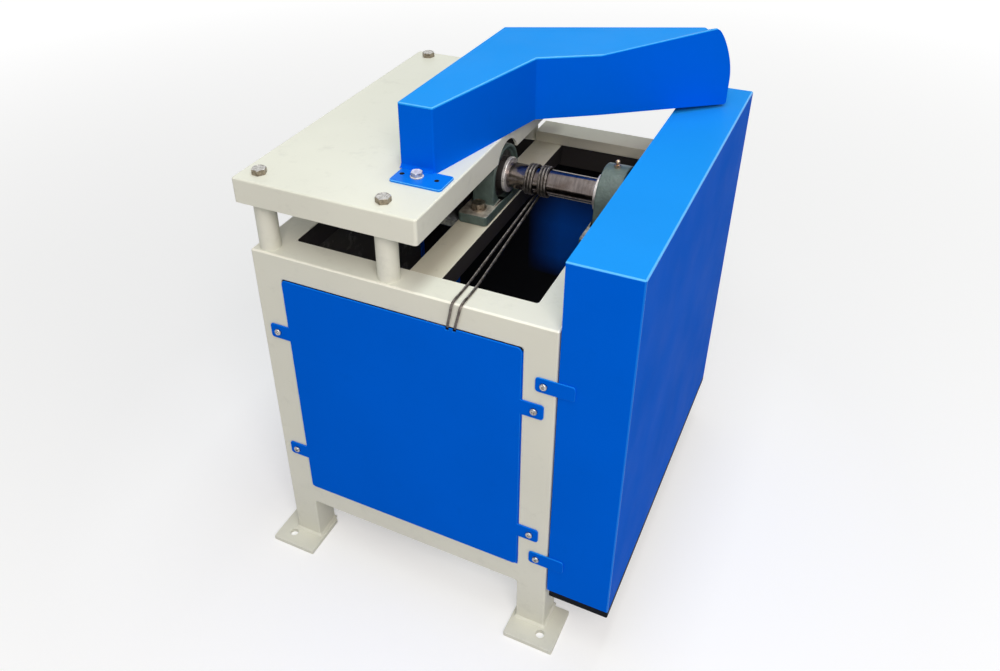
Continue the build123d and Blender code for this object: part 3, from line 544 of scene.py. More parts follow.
def painted_finishes():
    """The enamels: colour, roughness, dirt and its share, depth of the peel, gloss and its tint."""
    paint = colours()
    ivory, blue, upper = tuple(paint.frame_paint), tuple(paint.cover_paint), tuple(paint.lit_top_paint)
    dark, black, motor = tuple(paint.inside_painted_shade), tuple(paint.strip_paint), tuple(paint.motor_paint)
    # worn holds the pale ivory of a painted highlight on the frame's upper edges, not wear
    worn, ledge, rail = shade(248, 246, 232), shade(206, 203, 184), shade(204, 199, 180)
    # A paler blue, with paler specks, for edge strips and the hood's foot: painted light
    edge, pale_light_specks = shade(8, 118, 230), shade(30, 130, 235)
    # Pale blue with paler specks for the upper fold strips: a painted highlight
    crest, crest_highlight_specks = shade(92, 184, 254), shade(130, 200, 254)
    dust_and_painted_light, dust = shade(92, 89, 84), shade(196, 193, 183)
    sky = (0.5, 0.9, 1.0)
    return {
        "ivory": enamel("ivory_enamel", ivory, 0.42, tint(ivory, 0.72), 0.35, 0.10 * MM, 0.45),
        # Pale ivory for the frame's upper edge strips: a painted highlight
        "ivory_painted_highlight": enamel("ivory_enamel_painted_highlight", worn, 0.28, tint(worn, 0.9), 0.2, 0.06 * MM, 0.8),
        # The ledge's enamel is the ivory darkened: painted shade under the hood
        "ledge": enamel("ledge_enamel_painted_shade", ledge, 0.36, tint(ledge, 0.75), 0.5, 0.15 * MM),
        # The rail's enamel is the ivory darkened, with dirt specks: painted shade under the table
        "rail": enamel("rail_enamel_painted_shade", rail, 0.4, tint(rail, 0.65), 0.6, 0.15 * MM),
        "blue": enamel("blue_enamel", blue, 0.42, tint(blue, 0.85), 0.25, 0.10 * MM, 0.0015),
        # Paler blue for level faces and the upper fold strips: painted light
        "blue_lit_top": enamel("blue_enamel_lit_top", upper, 0.42, tint(upper, 0.9), 0.25, 0.10 * MM, 0.02),
        "blue_pale_painted_light": enamel("blue_enamel_pale_painted_light", edge, 0.30, pale_light_specks, 0.5, 0.05 * MM, 0.1, sky),
        "blue_painted_highlight": enamel("blue_enamel_painted_highlight", crest, 0.30, crest_highlight_specks, 0.5, 0.05 * MM, 0.25, sky),
        # Dark primer on inner faces and hole walls: painted shade
        "inside": enamel("dark_primer_painted_shade", dark, 0.62, tint(dark, 1.8), 0.4, 0.12 * MM, 0.2),
        # Primer with dust specks on the left sheet's inside, whose paler base is painted light
        "dust_and_painted_light": enamel("primer_dust_and_painted_light", dust_and_painted_light, 0.7, dust, 0.6, 0.12 * MM, 0.2),
        "black": enamel("black_strip_paint", black, 0.55, tint(black, 1.6), 0.3, 0.10 * MM, 0.04),
        "motor": enamel("motor_enamel", motor, 0.45, tint(motor, 0.5), 0.5, 0.12 * MM),
    }


def mottled(name, colour, roughness, metallic, clouds, stops, grain, sheen, relief=None):
    """Bare metal, rubber or plastic: a clouded colour, an uneven sheen and, if given, a fine relief."""
    made = Finish(name, shade(*colour), roughness, metallic)
    made.colour(made.ramp(made.noise(*clouds), [(place, shade(*stop)) for place, stop in stops]))
    made.roughness(made.spread(made.noise(*grain), *sheen))
    if relief:
        pattern, depth, strength = relief
        made.bump(made.noise(*pattern), depth, strength)
    return made


def bare_finishes():
    """The bare metals, the belt's rubber and the plastic."""
    plated = ((700, 2), 0.05 * MM, 0.4)
    return {
        "milled": mottled(
            "milled_iron", (186, 180, 168), roughness=0.46, metallic=0.6,
            clouds=(55, 5, 0.6), stops=((0.3, (132, 123, 110)), (0.62, (204, 198, 186))),
            grain=(120, 3, 0.5, (1, 6, 1)), sheen=(0.3, 0.55),
            relief=((900, 2, 0.5, (1, 0.08, 1)), 0.05 * MM, 0.4),
        ),
        "zinc": mottled(
            "zinc_plate", (196, 194, 190), roughness=0.3, metallic=0.45,
            clouds=(160, 4, 0.6), stops=((0.3, (142, 138, 132)), (0.6, (206, 204, 200))),
            grain=(220, 3), sheen=(0.2, 0.42), relief=plated,
        ),
        # A paler copy of the zinc: painted light on the hood bolt's crown
        "bright": mottled(
            "zinc_painted_light", (232, 229, 232), roughness=0.35, metallic=0.2,
            clouds=(160, 4, 0.6), stops=((0.3, (208, 204, 206)), (0.6, (244, 241, 243))),
            grain=(220, 3), sheen=(0.25, 0.45), relief=plated,
        ),
        # Brown zinc: stains, and painted shade on bolt flats and on bolts under the table
        "stain_and_painted_shade": mottled(
            "zinc_stain_and_painted_shade", (150, 139, 122), roughness=0.4, metallic=1.0,
            clouds=(170, 4, 0.6), stops=((0.3, (98, 88, 76)), (0.65, (164, 153, 137))),
            grain=(220, 3), sheen=(0.3, 0.52), relief=plated,
        ),
        "screw": mottled(
            "screw_steel", (166, 165, 164), roughness=0.26, metallic=1.0,
            clouds=(300, 3), stops=((0.35, (134, 132, 131)), (0.65, (196, 194, 193))),
            grain=(250, 3), sheen=(0.18, 0.34),
        ),
        "wire": mottled(
            "tie_wire_iron", (112, 104, 98), roughness=0.36, metallic=1.0,
            clouds=(130, 5, 0.65),
            stops=((0.3, (72, 67, 62)), (0.55, (124, 117, 111)), (0.8, (178, 172, 166))),
            grain=(200, 3), sheen=(0.28, 0.52),
        ),
        "brass": mottled(
            "nipple_brass", (196, 172, 150), roughness=0.28, metallic=1.0,
            clouds=(260, 4), stops=((0.3, (150, 122, 98)), (0.7, (214, 194, 172))),
            grain=(300, 3), sheen=(0.2, 0.4),
        ),
        "pulley": mottled(
            "pulley_iron", (96, 96, 98), roughness=0.4, metallic=0.9,
            clouds=(70, 4, 0.6), stops=((0.3, (62, 60, 58)), (0.7, (128, 126, 124))),
            grain=(120, 3), sheen=(0.3, 0.55),
            relief=((400, 2, 0.5, (3, 0.1, 0.1)), 0.05 * MM, 0.3),
        ),
        "rubber": mottled(
            "belt_rubber", (30, 30, 31), roughness=0.7, metallic=0.0,
            clouds=(90, 5, 0.65), stops=((0.35, (22, 22, 23)), (0.75, (52, 51, 49))),
            grain=(60, 3), sheen=(0.6, 0.82), relief=((800, 2), 0.12 * MM, 0.5),
        ),
        "plastic": mottled(
            "black_plastic", (26, 26, 28), roughness=0.5, metallic=0.0,
            clouds=(50, 4), stops=((0.35, (20, 20, 22)), (0.7, (36, 36, 38))),
            grain=(300, 2), sheen=(0.42, 0.6), relief=((1100, 2), 0.06 * MM, 0.4),
        ),
        "knife": mottled(
            "ground_knife_steel", (178, 180, 184), roughness=0.22, metallic=1.0,
            clouds=(90, 4), stops=((0.35, (140, 142, 146)), (0.7, (200, 202, 206))),
            grain=(120, 3, 0.5, (1, 8, 1)), sheen=(0.14, 0.32),
            relief=((900, 2, 0.5, (0.06, 1, 1)), 0.03 * MM, 0.35),
        ),
    }


def painted_light_patch():
    """The rear panel's inside: painted shade, with a painted pool of light in blue that fades to the left,
    upwards and downwards.
    """
    left, bottom, top = (-35 * MM, 50 * MM), (370 * MM, 430 * MM), (520 * MM, 620 * MM)
    # bare is painted shade and spray the blue of the painted pool of light
    bare, spray = shade(16, 18, 24), shade(10, 97, 218)
    made = Finish("rear_inside_painted_light_patch", bare, 0.6)
    made.set("Specular IOR Level", 0.1)
    place = made.parts()
    patch = made.mix(made.spread(place["X"], 0.0, 1.0, *left), bare, spray)
    patch = made.mix(made.spread(place["Z"], 0.0, 1.0, *bottom), bare, patch)
    made.colour(made.mix(made.spread(place["Z"], 1.0, 0.0, *top), bare, patch))
    made.roughness(made.spread(made.noise(9, 4), 0.55, 0.67))
    return made


def hammer_casting():
    """Hammer finish on rough cast iron."""
    cast = tuple(colours().casting_paint)
    made = Finish("hammer_casting", cast, 0.45)
    made.set("Specular IOR Level", 0.6)
    shades = [(0.3, tint(cast, 0.72)), (0.55, cast), (0.8, tint(cast, 1.3))]
    made.colour(made.ramp(made.noise(60, 5, 0.65), shades))
    made.roughness(made.spread(made.noise(90, 3), 0.34, 0.58))
    made.bump(made.cells(260), 0.6 * MM, 0.75)
    made.bump(made.noise(45, 4), 1.0 * MM, 0.6)
    return made


def turned_steel():
    """Bright steel with fine turning rings and brown stains."""
    made = Finish("turned_steel", shade(128, 120, 117), 0.22, 1.0)
    rings = made.noise(40, 3, 0.6, (4, 0.6, 0.6))
    stain = made.spread(made.noise(24, 5, 0.65), 0.0, 0.7, 0.48, 0.72)
    bright = made.ramp(rings, [(0.3, shade(100, 93, 91)), (0.7, shade(138, 129, 126))])
    made.colour(made.mix(stain, bright, shade(84, 71, 63)))
    made.roughness(made.spread(made.noise(30, 3, 0.5), 0.13, 0.22))
    return made


def collar_steel():
    """The bearing collars: pale rims that face each other, and painted shade on the neck behind each rim."""
    left_rim, right_rim = 57 * MM, 243 * MM
    neck = shade(62, 58, 56)
    made = Finish("bearing_collar_steel", shade(222, 217, 213), 0.3, 0.55)
    place = made.parts()
    pale = [(0.35, shade(186, 179, 175)), (0.65, shade(236, 232, 228))]
    bright = made.ramp(made.noise(35, 4, 0.6), pale)
    # The neck behind each rim takes painted shade
    bright = made.mix(made.spread(place["X"], 0.0, 1.0, left_rim, left_rim + MM), neck, bright)
    made.colour(made.mix(made.spread(place["X"], 0.0, 1.0, right_rim, right_rim + MM), bright, neck))
    made.roughness(made.spread(made.noise(80, 3), 0.24, 0.4))
    made.bump(made.noise(420, 2, 0.5, (4, 0.1, 0.1)), 0.03 * MM, 0.3)
    return made


def make_finishes():
    FINISHES.update(painted_finishes())
    FINISHES.update(bare_finishes())
    FINISHES["painted_light_patch_inside"] = painted_light_patch()
    FINISHES["casting"] = hammer_casting()
    FINISHES["steel"] = turned_steel()
    FINISHES["collar"] = collar_steel()


# Tie wires


WIRE_D = 5 * MM
COIL_R = 27.9 * MM
COIL_PITCH = 6 * MM
COIL_TURNS = 3
STEPS_PER_TURN = 12
# tail x, x on the rail, x at the spindle, hand of the winding, length along the wire
WIRES = (
    (0.1020, 0.1135, 0.1180, -1, 0.9664),
    (0.1155, 0.1300, 0.1250, 1, 0.9671),
)


def towards(start, end, distance):
    return start + (end - start).normalized() * distance


def wire_points(tail_x, rail_x, coil_x, hand):
    """Control points: out under the front rail, up and over it, taut to the spindle and round it."""
    front, back, under, over = -0.3529, -0.2900, 0.7071, 0.7629
    out, tail = 1.9 * MM, 22 * MM
    lead = 6 * WIRE_D
    low = Vector((tail_x, front, under))
    top = Vector((rail_x, front, over))
    leave = Vector((rail_x, back, over))
    rise = SPINDLE_Z - over
    reach = SPINDLE_Y - back
    climb = math.atan2(rise, reach) - math.asin(COIL_R / math.hypot(rise, reach))
    start = climb - math.pi / 2

    def on_coil(turned, radius):
        angle = start + turned
        x = coil_x + hand * COIL_PITCH * turned / (2 * math.pi)
        return Vector((x, SPINDLE_Y + radius * math.cos(angle), SPINDLE_Z + radius * math.sin(angle)))

    touch = on_coil(0, COIL_R)
    points = [Vector((tail_x, front + tail, under)), low + Vector((0, -out, -out))]
    points += [towards(top, low, lead), top + Vector((0, -out, out))]
    points += [Vector((rail_x, front + lead, over)), leave]
    points += [towards(leave, touch, lead), towards(touch, leave, lead)]
    step = 2 * math.pi / STEPS_PER_TURN
    for count in range(COIL_TURNS * STEPS_PER_TURN):
        points.append(on_coil((count + 0.5) * step, COIL_R / math.cos(step / 2)))
    end = on_coil(COIL_TURNS * 2 * math.pi, COIL_R)
    points.append(towards(end, end + (end - points[-1]), WIRE_D))
    return points


def wire_line(name, points):
    """The wire's smooth line, read back as close points at even steps."""
    curve = bpy.data.curves.new(name, "CURVE")
    curve.dimensions = "3D"
    curve.resolution_u = 12
    spline = curve.splines.new("NURBS")
    spline.points.add(len(points) - 1)
    for knot, point in zip(spline.points, points):
        knot.co = (*point, 1)
    spline.order_u = 3
    spline.use_endpoint_u = True
    route = bpy.data.objects.new(name, curve)
    bpy.context.scene.collection.objects.link(route)
    bpy.context.view_layer.update()
    line = bpy.data.meshes.new_from_object(route)
    found = [v.co.copy() for v in line.vertices]
    bpy.data.objects.remove(route)
    bpy.data.meshes.remove(line)
    return found


def even_steps(points, step):
    """Points along a line at equal distances."""
    lengths = [0.0]
    for a, b in zip(points, points[1:]):
        lengths.append(lengths[-1] + (b - a).length)
    count = round(lengths[-1] / step)
    found, index = [], 0
    for number in range(count + 1):
        at = lengths[-1] * number / count
        while index < len(points) - 2 and lengths[index + 1] < at:
            index += 1
        share = (at - lengths[index]) / max(1e-9, lengths[index + 1] - lengths[index])
        found.append(points[index].lerp(points[index + 1], min(1.0, share)))
    return found


def twist(name, line, strands):
    """Strands wound round a middle one along the line, as one mesh."""
    lay = 26 * MM
    thin = WIRE_D / 2 / (1 + 1 / math.sin(math.pi / strands))
    ring = WIRE_D / 2 - thin
    step = (line[1] - line[0]).length
    side = Vector((1, 0, 0))
    rows = []
    for index, point in enumerate(line):
        ahead = line[min(index + 1, len(line) - 1)] - line[max(index - 1, 0)]
        ahead.normalize()
        side = (side - ahead * side.dot(ahead)).normalized()
        rows.append((point, side.copy(), ahead.cross(side)))
    curve = bpy.data.curves.new(name, "CURVE")
    curve.dimensions = "3D"
    curve.bevel_depth = thin
    curve.bevel_resolution = 1
    curve.use_fill_caps = True
    for strand in range(strands + 1):
        spline = curve.splines.new("POLY")
        spline.points.add(len(rows) - 1)
        away = ring if strand < strands else 0
        for index, (point, across, over) in enumerate(rows):
            angle = 2 * math.pi * (strand / strands + index * step / lay)
            spot = point + away * (math.cos(angle) * across + math.sin(angle) * over)
            spline.points[index].co = (*spot, 1)
    made = bpy.data.objects.new(name, curve)
    bpy.context.scene.collection.objects.link(made)
    take(made)
    bpy.ops.object.convert(target="MESH")
    return named(bpy.context.object, name)


class KNOTMACHINE_OT_tie_wires(bpy.types.Operator):
    """Twist the two tie wires and wind them round the spindle"""

    bl_idname = "knot_machine.tie_wires"
    bl_label = "Tie wires"

    def execute(self, context):
        for number, (tail_x, rail_x, coil_x, hand, length) in enumerate(WIRES, 1):
            line = wire_line("tie_wire_route", wire_points(tail_x, rail_x, coil_x, hand))
            line = even_steps(line, 2.0 * MM)
            wire = twist(f"twisted_tie_wire_{number}", line, sizes().wire_strands)
            coat(wire, "wire")
            take(wire)
            bpy.ops.object.shade_smooth()
            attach(wire, "frame")
            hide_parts("tie_wire")
        return {"FINISHED"}


# Welded frame


ANCHOR_X = 300 * MM
ANCHOR_Y = 368 * MM
ANCHOR_RADIUS = 9 * MM
FOOT_ROUND = 3 * MM


def is_hollow(edge):
    """Whether two faces meet in an inner corner."""
    return len(edge.link_faces) == 2 and not edge.is_convex


def frame_edge_radius(edge, outer, size):
    """The rounding of one edge: inner corner, tube edge, edge of the top's opening or of a window."""
    spot = middle(edge)
    on_side = outer.x - abs(spot.x) < NEAR
    on_end = outer.y - abs(spot.y) < NEAR
    on_top = outer.z - spot.z < NEAR
    if is_hollow(edge):
        return size.window_round
    if on_side + on_end + on_top > 1:
        return size.tube_round
    return size.opening_edge if on_top else size.window_edge


def round_frame(body, outer):
    """Round every edge of the frame by its own radius, given as a bevel weight."""
    size = sizes()
    choose(body, "EDGE", lambda e: len(e.link_faces) == 2 and e.calc_face_angle() > 0.5)
    mesh = bmesh.from_edit_mesh(body.data)
    layers = mesh.edges.layers.float
    weight = layers.get("bevel_weight_edge") or layers.new("bevel_weight_edge")
    for edge in mesh.edges:
        if edge.select:
            edge[weight] = frame_edge_radius(edge, outer, size) / size.window_round
    bmesh.update_edit_mesh(body.data)
    close_edit()
    use_modifier(
        body, "BEVEL", width=size.window_round, segments=4, limit_method="WEIGHT", use_clamp_overlap=False,
    )


class KNOTMACHINE_OT_welded_frame(bpy.types.Operator):
    """Cut the frame's windows out of one block, so that its tubes run together without seams"""

    bl_idname = "knot_machine.welded_frame"
    bl_label = "Welded frame"

    def execute(self, context):
        leg_low, leg_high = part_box("leg_front_left")
        rail_low, rail_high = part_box("bottom_rail_front")
        outer = Vector((
            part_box("leg_front_right")[1].x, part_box("leg_rear_left")[1].y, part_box("top_rail_front")[1].z,
        ))
        wide, deep = -leg_high.x, -leg_high.y
        body = add_block("welded_frame", leg_low, outer)
        for low_z, high_z in ((rail_high.z, leg_high.z), (-FAR, rail_low.z)):
            cut(body, add_block("cutter", (-wide, -FAR, low_z), (wide, FAR, high_z)))
            cut(body, add_block("cutter", (-FAR, -deep, low_z), (FAR, deep, high_z)))
        cut(body, add_block("cutter", (-wide, -deep, -FAR), (wide, deep, 2 * FAR)))
        tidy_mesh(body)
        round_frame(body, outer)

        sides = ("front", "rear", "left", "right")
        nodes = [f"leg_{corner}" for corner in CORNERS]
        nodes += [f"{level}_rail_{side}" for level in ("top", "bottom") for side in sides]
        dress(body, ["ivory", "inside", "ivory_painted_highlight"], nodes)
        # The tubes' inner faces take the dark primer, painted shade
        probe, wall = 50 * MM, 10 * MM
        for face in body.data.polygons:
            spot = face.center + face.normal * probe
            within = outer.x - abs(spot.x) > wall and outer.y - abs(spot.y) > wall
            level = rail_low.z < spot.z < outer.z and face.normal.z < 0.5
            # Upper edge strips take the pale ivory, a painted highlight
            crest = 0.3 < face.normal.z < 0.995 and face.center.z > outer.z - sizes().tube_round
            face.material_index = 1 if within and level else 2 if crest else 0
        return {"FINISHED"}


class KNOTMACHINE_OT_cross_rails(bpy.types.Operator):
    """Model the rail under the left pillow block and the ledge on the rear rail"""

    bl_idname = "knot_machine.cross_rails"
    bl_label = "Bearing rail and ledge"

    def execute(self, context):
        low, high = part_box("bearing_rail")
        into_frame, below_top = Vector((0, 5 * MM, 0)), UP * 0.3 * MM
        rail = add_block("bearing_rail_channel", low - into_frame, high + into_frame - below_top)
        wall, hollow = 6 * MM, 34 * MM
        pull_face(rail, faces_down, wall, UP * hollow)
        soften(rail, sizes().opening_edge)
        # The rail's top takes its darkened enamel and its sides the dark primer, both painted shade
        dress(rail, ["rail", "inside"], ["bearing_rail"])
        for face in rail.data.polygons:
            face.material_index = 0 if face.normal.z > 0.4 else 1

        ledge = add_block("rear_ledge_tube", *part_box("rear_ledge"))
        wall, hollow = 3 * MM, 50 * MM
        pull_face(ledge, lambda f: faces_way(f, (1, 0, 0)), wall, (-hollow, 0, 0))
        soften(ledge, 1.2 * MM)
        # The ledge wears the darkened ivory, painted shade
        dress(ledge, ["ledge"], ["rear_ledge"])
        return {"FINISHED"}


def weld_bead(low, high, leg):
    """A lumpy fillet weld round the foot of a leg."""
    bead = add_block("weld", low, high)
    choose(bead, "FACE", faces_down)
    wide = (high.x - low.x + 2 * leg) / (high.x - low.x)
    bpy.ops.transform.resize(value=(wide, wide, 1), center_override=(low + high) / 2)
    bpy.ops.mesh.select_all(action="SELECT")
    bpy.ops.mesh.subdivide(number_cuts=10)
    bpy.ops.mesh.select_all(action="SELECT")
    bpy.ops.transform.vertex_random(offset=0.7 * MM, uniform=0.3, seed=7)
    close_edit()
    use_modifier(bead, "SMOOTH", factor=0.5, iterations=2)
    return bead


class KNOTMACHINE_OT_foot_plates(bpy.types.Operator):
    """Model the foot plates with their anchor holes and the welds round the legs"""

    bl_idname = "knot_machine.foot_plates"
    bl_label = "Foot plates"

    def execute(self, context):
        weld_leg = sizes().weld_size
        through = UP * 50 * MM
        for corner in CORNERS:
            node, name = "foot_plate_" + corner, "foot_plate_welded_" + corner
            low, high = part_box(node)
            leg_low, leg_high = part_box("leg_" + corner)
            plate = add_block(name, low, high)
            round_edges(plate, lambda e: runs_along(e, Z), FOOT_ROUND)
            hole = Vector((math.copysign(ANCHOR_X, leg_low.x), math.copysign(ANCHOR_Y, leg_low.y), 0))
            cut(plate, add_rod("drill", hole - through, hole + through, ANCHOR_RADIUS, 40))
            soften(plate, 0.9 * MM)
            leg_low.z = high.z - 0.5 * MM
            leg_high.z = high.z + weld_leg
            piece = join([plate, weld_bead(leg_low, leg_high, weld_leg)], name)
            dress(piece, ["ivory"], [node])
        return {"FINISHED"}


# Sheet panels


# The insides' finishes: painted shade, a painted pool of light, and a dusty primer partly painted light
# side, half the width of its sheet, finish of its inside
PANELS = (("front", 238 * MM, "inside"), ("rear", 238 * MM, "painted_light_patch_inside"), ("left", 288 * MM, "dust_and_painted_light"))
# How far the front sheet stands above its solid, to the thin gap under the rail
FRONT_RISE = 3.8 * MM
TAB_HALF = 16 * MM
PANEL_CORNER = 8 * MM
TAB_CORNER = 6 * MM
# The slots in the front sheet's top edge that let the tie wires through
WIRE_SLOT_HALF = 3.2 * MM
WIRE_SLOT_LOW = 703.5 * MM
WIRE_SLOT_HIGH = 720 * MM
# The flat bar behind the sheet's edge, which is open at the top of the front
STOP_WIDTH = 14 * MM
STOP_PAST = 1.7 * MM
STOP_RISE = 4.7 * MM
STOP_DEPTHS = (0.2 * MM, 4 * MM)
FRONT_STOP_HIGH = 700 * MM
# From the frame's corner to the screw in a tab, and the place of the straps' screws
TAB_SCREW_IN = 37 * MM
STRAP_SCREW_X = 278.5 * MM


def widened(low, high, axis, amount):
    """A box whose two sides across an axis are moved apart, or together."""
    step = Vector((0, 0, 0))
    step[axis] = amount
    return low - step, high + step


def tabbed_sheet(name, low, high, node, out):
    """A flat sheet with rounded corners and two tabs at each end."""
    sheet = add_block(name, low, high)
    round_edges(sheet, lambda e: runs_along(e, out), PANEL_CORNER, 5)
    for z in TAB_HEIGHTS:
        tab_low, tab_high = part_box(node)
        tab_low.z, tab_high.z = z - TAB_HALF, z + TAB_HALF
        tab = add_block("tab", tab_low, tab_high)
        round_edges(tab, lambda e: runs_along(e, out), TAB_CORNER, 4)
        fuse(sheet, tab)
    return sheet


def wire_slot(wire_x):
    room = 10 * MM
    low = (wire_x - WIRE_SLOT_HALF, -FRAME_Y - room, WIRE_SLOT_LOW)
    high = (wire_x + WIRE_SLOT_HALF, -FRAME_Y + room, WIRE_SLOT_HIGH)
    return add_block("wire_slot", low, high)


def window_stop(low, high, along, out, front):
    """The flat bar round a window, with its opening cut out."""
    hole_low, hole_high = widened(low, high, along, -STOP_WIDTH)
    hole_low, hole_high = widened(hole_low, hole_high, out, 10 * MM)
    hole_low.z += STOP_WIDTH
    hole_high.z += STOP_WIDTH if front else -STOP_WIDTH
    stop = cut(add_block("window_stop", low, high), add_block("window", hole_low, hole_high))
    coat(stop, "blue")
    return stop


def sheet_panel(side, half, inside):
    """The sheet on one side of the frame, with its own finish inside, and the stop behind its edge."""
    node, name = f"{side}_panel", f"{side}_cover_sheet"
    along, out = (Y, X) if side == "left" else (X, Y)
    node_low, node_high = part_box(node)
    low, high = node_low.copy(), node_high.copy()
    low[along] = centre(node)[along] - half
    high[along] = centre(node)[along] + half
    if side == "front":
        high.z += FRONT_RISE
    panel = tabbed_sheet(name, low, high, node, out)
    if side == "front":
        for wire in WIRES:
            cut(panel, wire_slot(wire[0]))
    tidy_mesh(panel, 0.5)
    # The sheet's edge strips take the paler blue, painted light
    coat(panel, "blue", "blue_pale_painted_light")
    soften(panel, min(sizes().sheet_edge, SHEET / 2.2), 3, 50, edge_finish=True)
    # The inside faces take their finish of painted shade or painted light
    coat(panel, inside)
    inward = -1 if side == "rear" else 1
    for face in panel.data.polygons:
        if face.normal[out] * inward > 0.9:
            face.material_index = 2

    stop_low, stop_high = widened(low, high, along, STOP_PAST)
    stop_low.z -= STOP_PAST
    stop_high.z = FRONT_STOP_HIGH if side == "front" else node_high.z + STOP_RISE
    back = node_low[out] if side == "rear" else node_high[out]
    stop_low[out], stop_high[out] = sorted(back + inward * depth for depth in STOP_DEPTHS)
    return join([panel, window_stop(stop_low, stop_high, along, out, side == "front")], name)


class KNOTMACHINE_OT_panels(bpy.types.Operator):
    """Model the front, rear and left sheet panels with their tabs"""

    bl_idname = "knot_machine.panels"
    bl_label = "Panels"

    def execute(self, context):
        paints = ["blue", "blue_pale_painted_light", "painted_light_patch_inside", "inside", "dust_and_painted_light"]
        for side, half, inside in PANELS:
            dress(sheet_panel(side, half, inside), paints, [f"{side}_panel"])
        return {"FINISHED"}


def screw_places():
    """The turn and place of every cover screw: in the tabs of three sides, then in the straps."""
    quarter = math.radians(90)
    front, rear, left = (quarter, 0, 0), (-quarter, 0, 0), (0, -quarter, 0)
    tab_x, tab_y = FRAME_X - TAB_SCREW_IN, FRAME_Y - TAB_SCREW_IN
    seat_x, seat_y = FRAME_X + SHEET, FRAME_Y + SHEET
    places = []
    for z in TAB_HEIGHTS:
        for way in (-1, 1):
            places.append((front, (way * tab_x, -seat_y, z)))
            places.append((rear, (way * tab_x, seat_y, z)))
            places.append((left, (-seat_x, way * tab_y, z)))
    for z in STRAP_HEIGHTS:
        places.append((front, (STRAP_SCREW_X, -seat_y, z)))
        places.append((rear, (STRAP_SCREW_X, seat_y, z)))
    return places


class KNOTMACHINE_OT_cover_screws(bpy.types.Operator):
    """Model one button head socket screw and set a copy in each tab and strap"""

    bl_idname = "knot_machine.cover_screws"
    bl_label = "Cover screws"

    def execute(self, context):
        head, radius, socket = 5 * MM, 7 * MM, 2.9 * MM
        screw = add_rod("screw", -UP * MM, UP * head, radius, 32)
        round_edges(screw, lambda e: middle(e).z > head - NEAR, 3 * MM, 5)
        cut(screw, add_rod("socket", UP * head / 2, UP * (head + 3 * MM), socket, 6))
        soften(screw, 0.25 * MM, 2, 50)
        copies = [copy_of(screw, "screw", turn, place) for turn, place in screw_places()]
        bpy.data.objects.remove(screw)
        dress(join(copies, "button_head_screws"), ["screw"], ["cover_screws"])
        return {"FINISHED"}


# Table and fasteners


# The cutter's slot in the table's top, and the notch over the left pillow block
CUTTER_SLOT_X = (-58 * MM, -4 * MM)
CUTTER_SLOT_HALF = 102 * MM
CUTTER_SLOT_Z = (890 * MM, 930 * MM)
NOTCH_X = (45 * MM, 65 * MM)
NOTCH_Z = 843 * MM
NOTCH_RADIUS = 48 * MM
# The two empty holes in the hood's foot, which go on through the table
HOLES_X = (-39 * MM, 28 * MM)
HOLE_RADIUS = 4.5 * MM


class KNOTMACHINE_OT_work_table(bpy.types.Operator):
    """Fold the table's tray, and cut the cutter slot and the notch over the pillow block"""

    bl_idname = "knot_machine.work_table"
    bl_label = "Work table"

    def execute(self, context):
        low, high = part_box("work_table")
        corner, fold, sheet = 6 * MM, 3.5 * MM, 5.5 * MM
        tray = add_block("work_table_tray", low, high)
        round_edges(tray, lambda e: runs_along(e, Z), corner, 5)
        drop_faces(tray, faces_down)
        round_edges(tray, lambda e: middle(e).z > high.z - NEAR, fold, 4)
        fold_sheet(tray, sheet)
        slot_low = (CUTTER_SLOT_X[0], SPINDLE_Y - CUTTER_SLOT_HALF, CUTTER_SLOT_Z[0])
        slot_high = (CUTTER_SLOT_X[1], SPINDLE_Y + CUTTER_SLOT_HALF, CUTTER_SLOT_Z[1])
        cut(tray, add_block("slot", slot_low, slot_high))
        notch_start, notch_end = ((x, SPINDLE_Y, NOTCH_Z) for x in NOTCH_X)
        cut(tray, add_rod("notch", notch_start, notch_end, NOTCH_RADIUS, 64))
        soften(tray, 0.7 * MM, 2, 60)
        coat(tray, "ivory")
        through = UP * 20 * MM
        for x in HOLES_X:
            mouth = Vector((x, centre("hood_bolt").y, high.z))
            drill(tray, mouth - through, mouth + through, HOLE_RADIUS)
        dress(tray, ["ivory", "inside"], ["work_table"])
        return {"FINISHED"}


class KNOTMACHINE_OT_table_posts(bpy.types.Operator):
    """Turn the table's posts, with a thin weld at the foot"""

    bl_idname = "knot_machine.table_posts"
    bl_label = "Table posts"

    def execute(self, context):
        # the weld's two steps: height, and how much wider the lower end is
        weld = ((2 * MM, 1.03), (1 * MM, 1.015))
        for corner in CORNERS:
            node = "table_post_" + corner
            low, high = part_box(node)
            foot = Vector((centre(node).x, centre(node).y, low.z))
            end = Vector((foot.x, foot.y, high.z))
            radius = (high.x - low.x) / 2
            post = add_rod("table_leg_post_" + corner, foot + UP * 2.5 * MM, end, radius, 64)
            choose(post, "FACE", faces_down)
            for height, wider in weld:
                bpy.ops.mesh.extrude_region_move(TRANSFORM_OT_translate={"value": -UP * height})
                bpy.ops.transform.resize(value=(wider, wider, 1), center_override=foot)
            close_edit()
            dress(post, ["ivory"], [node])
        return {"FINISHED"}


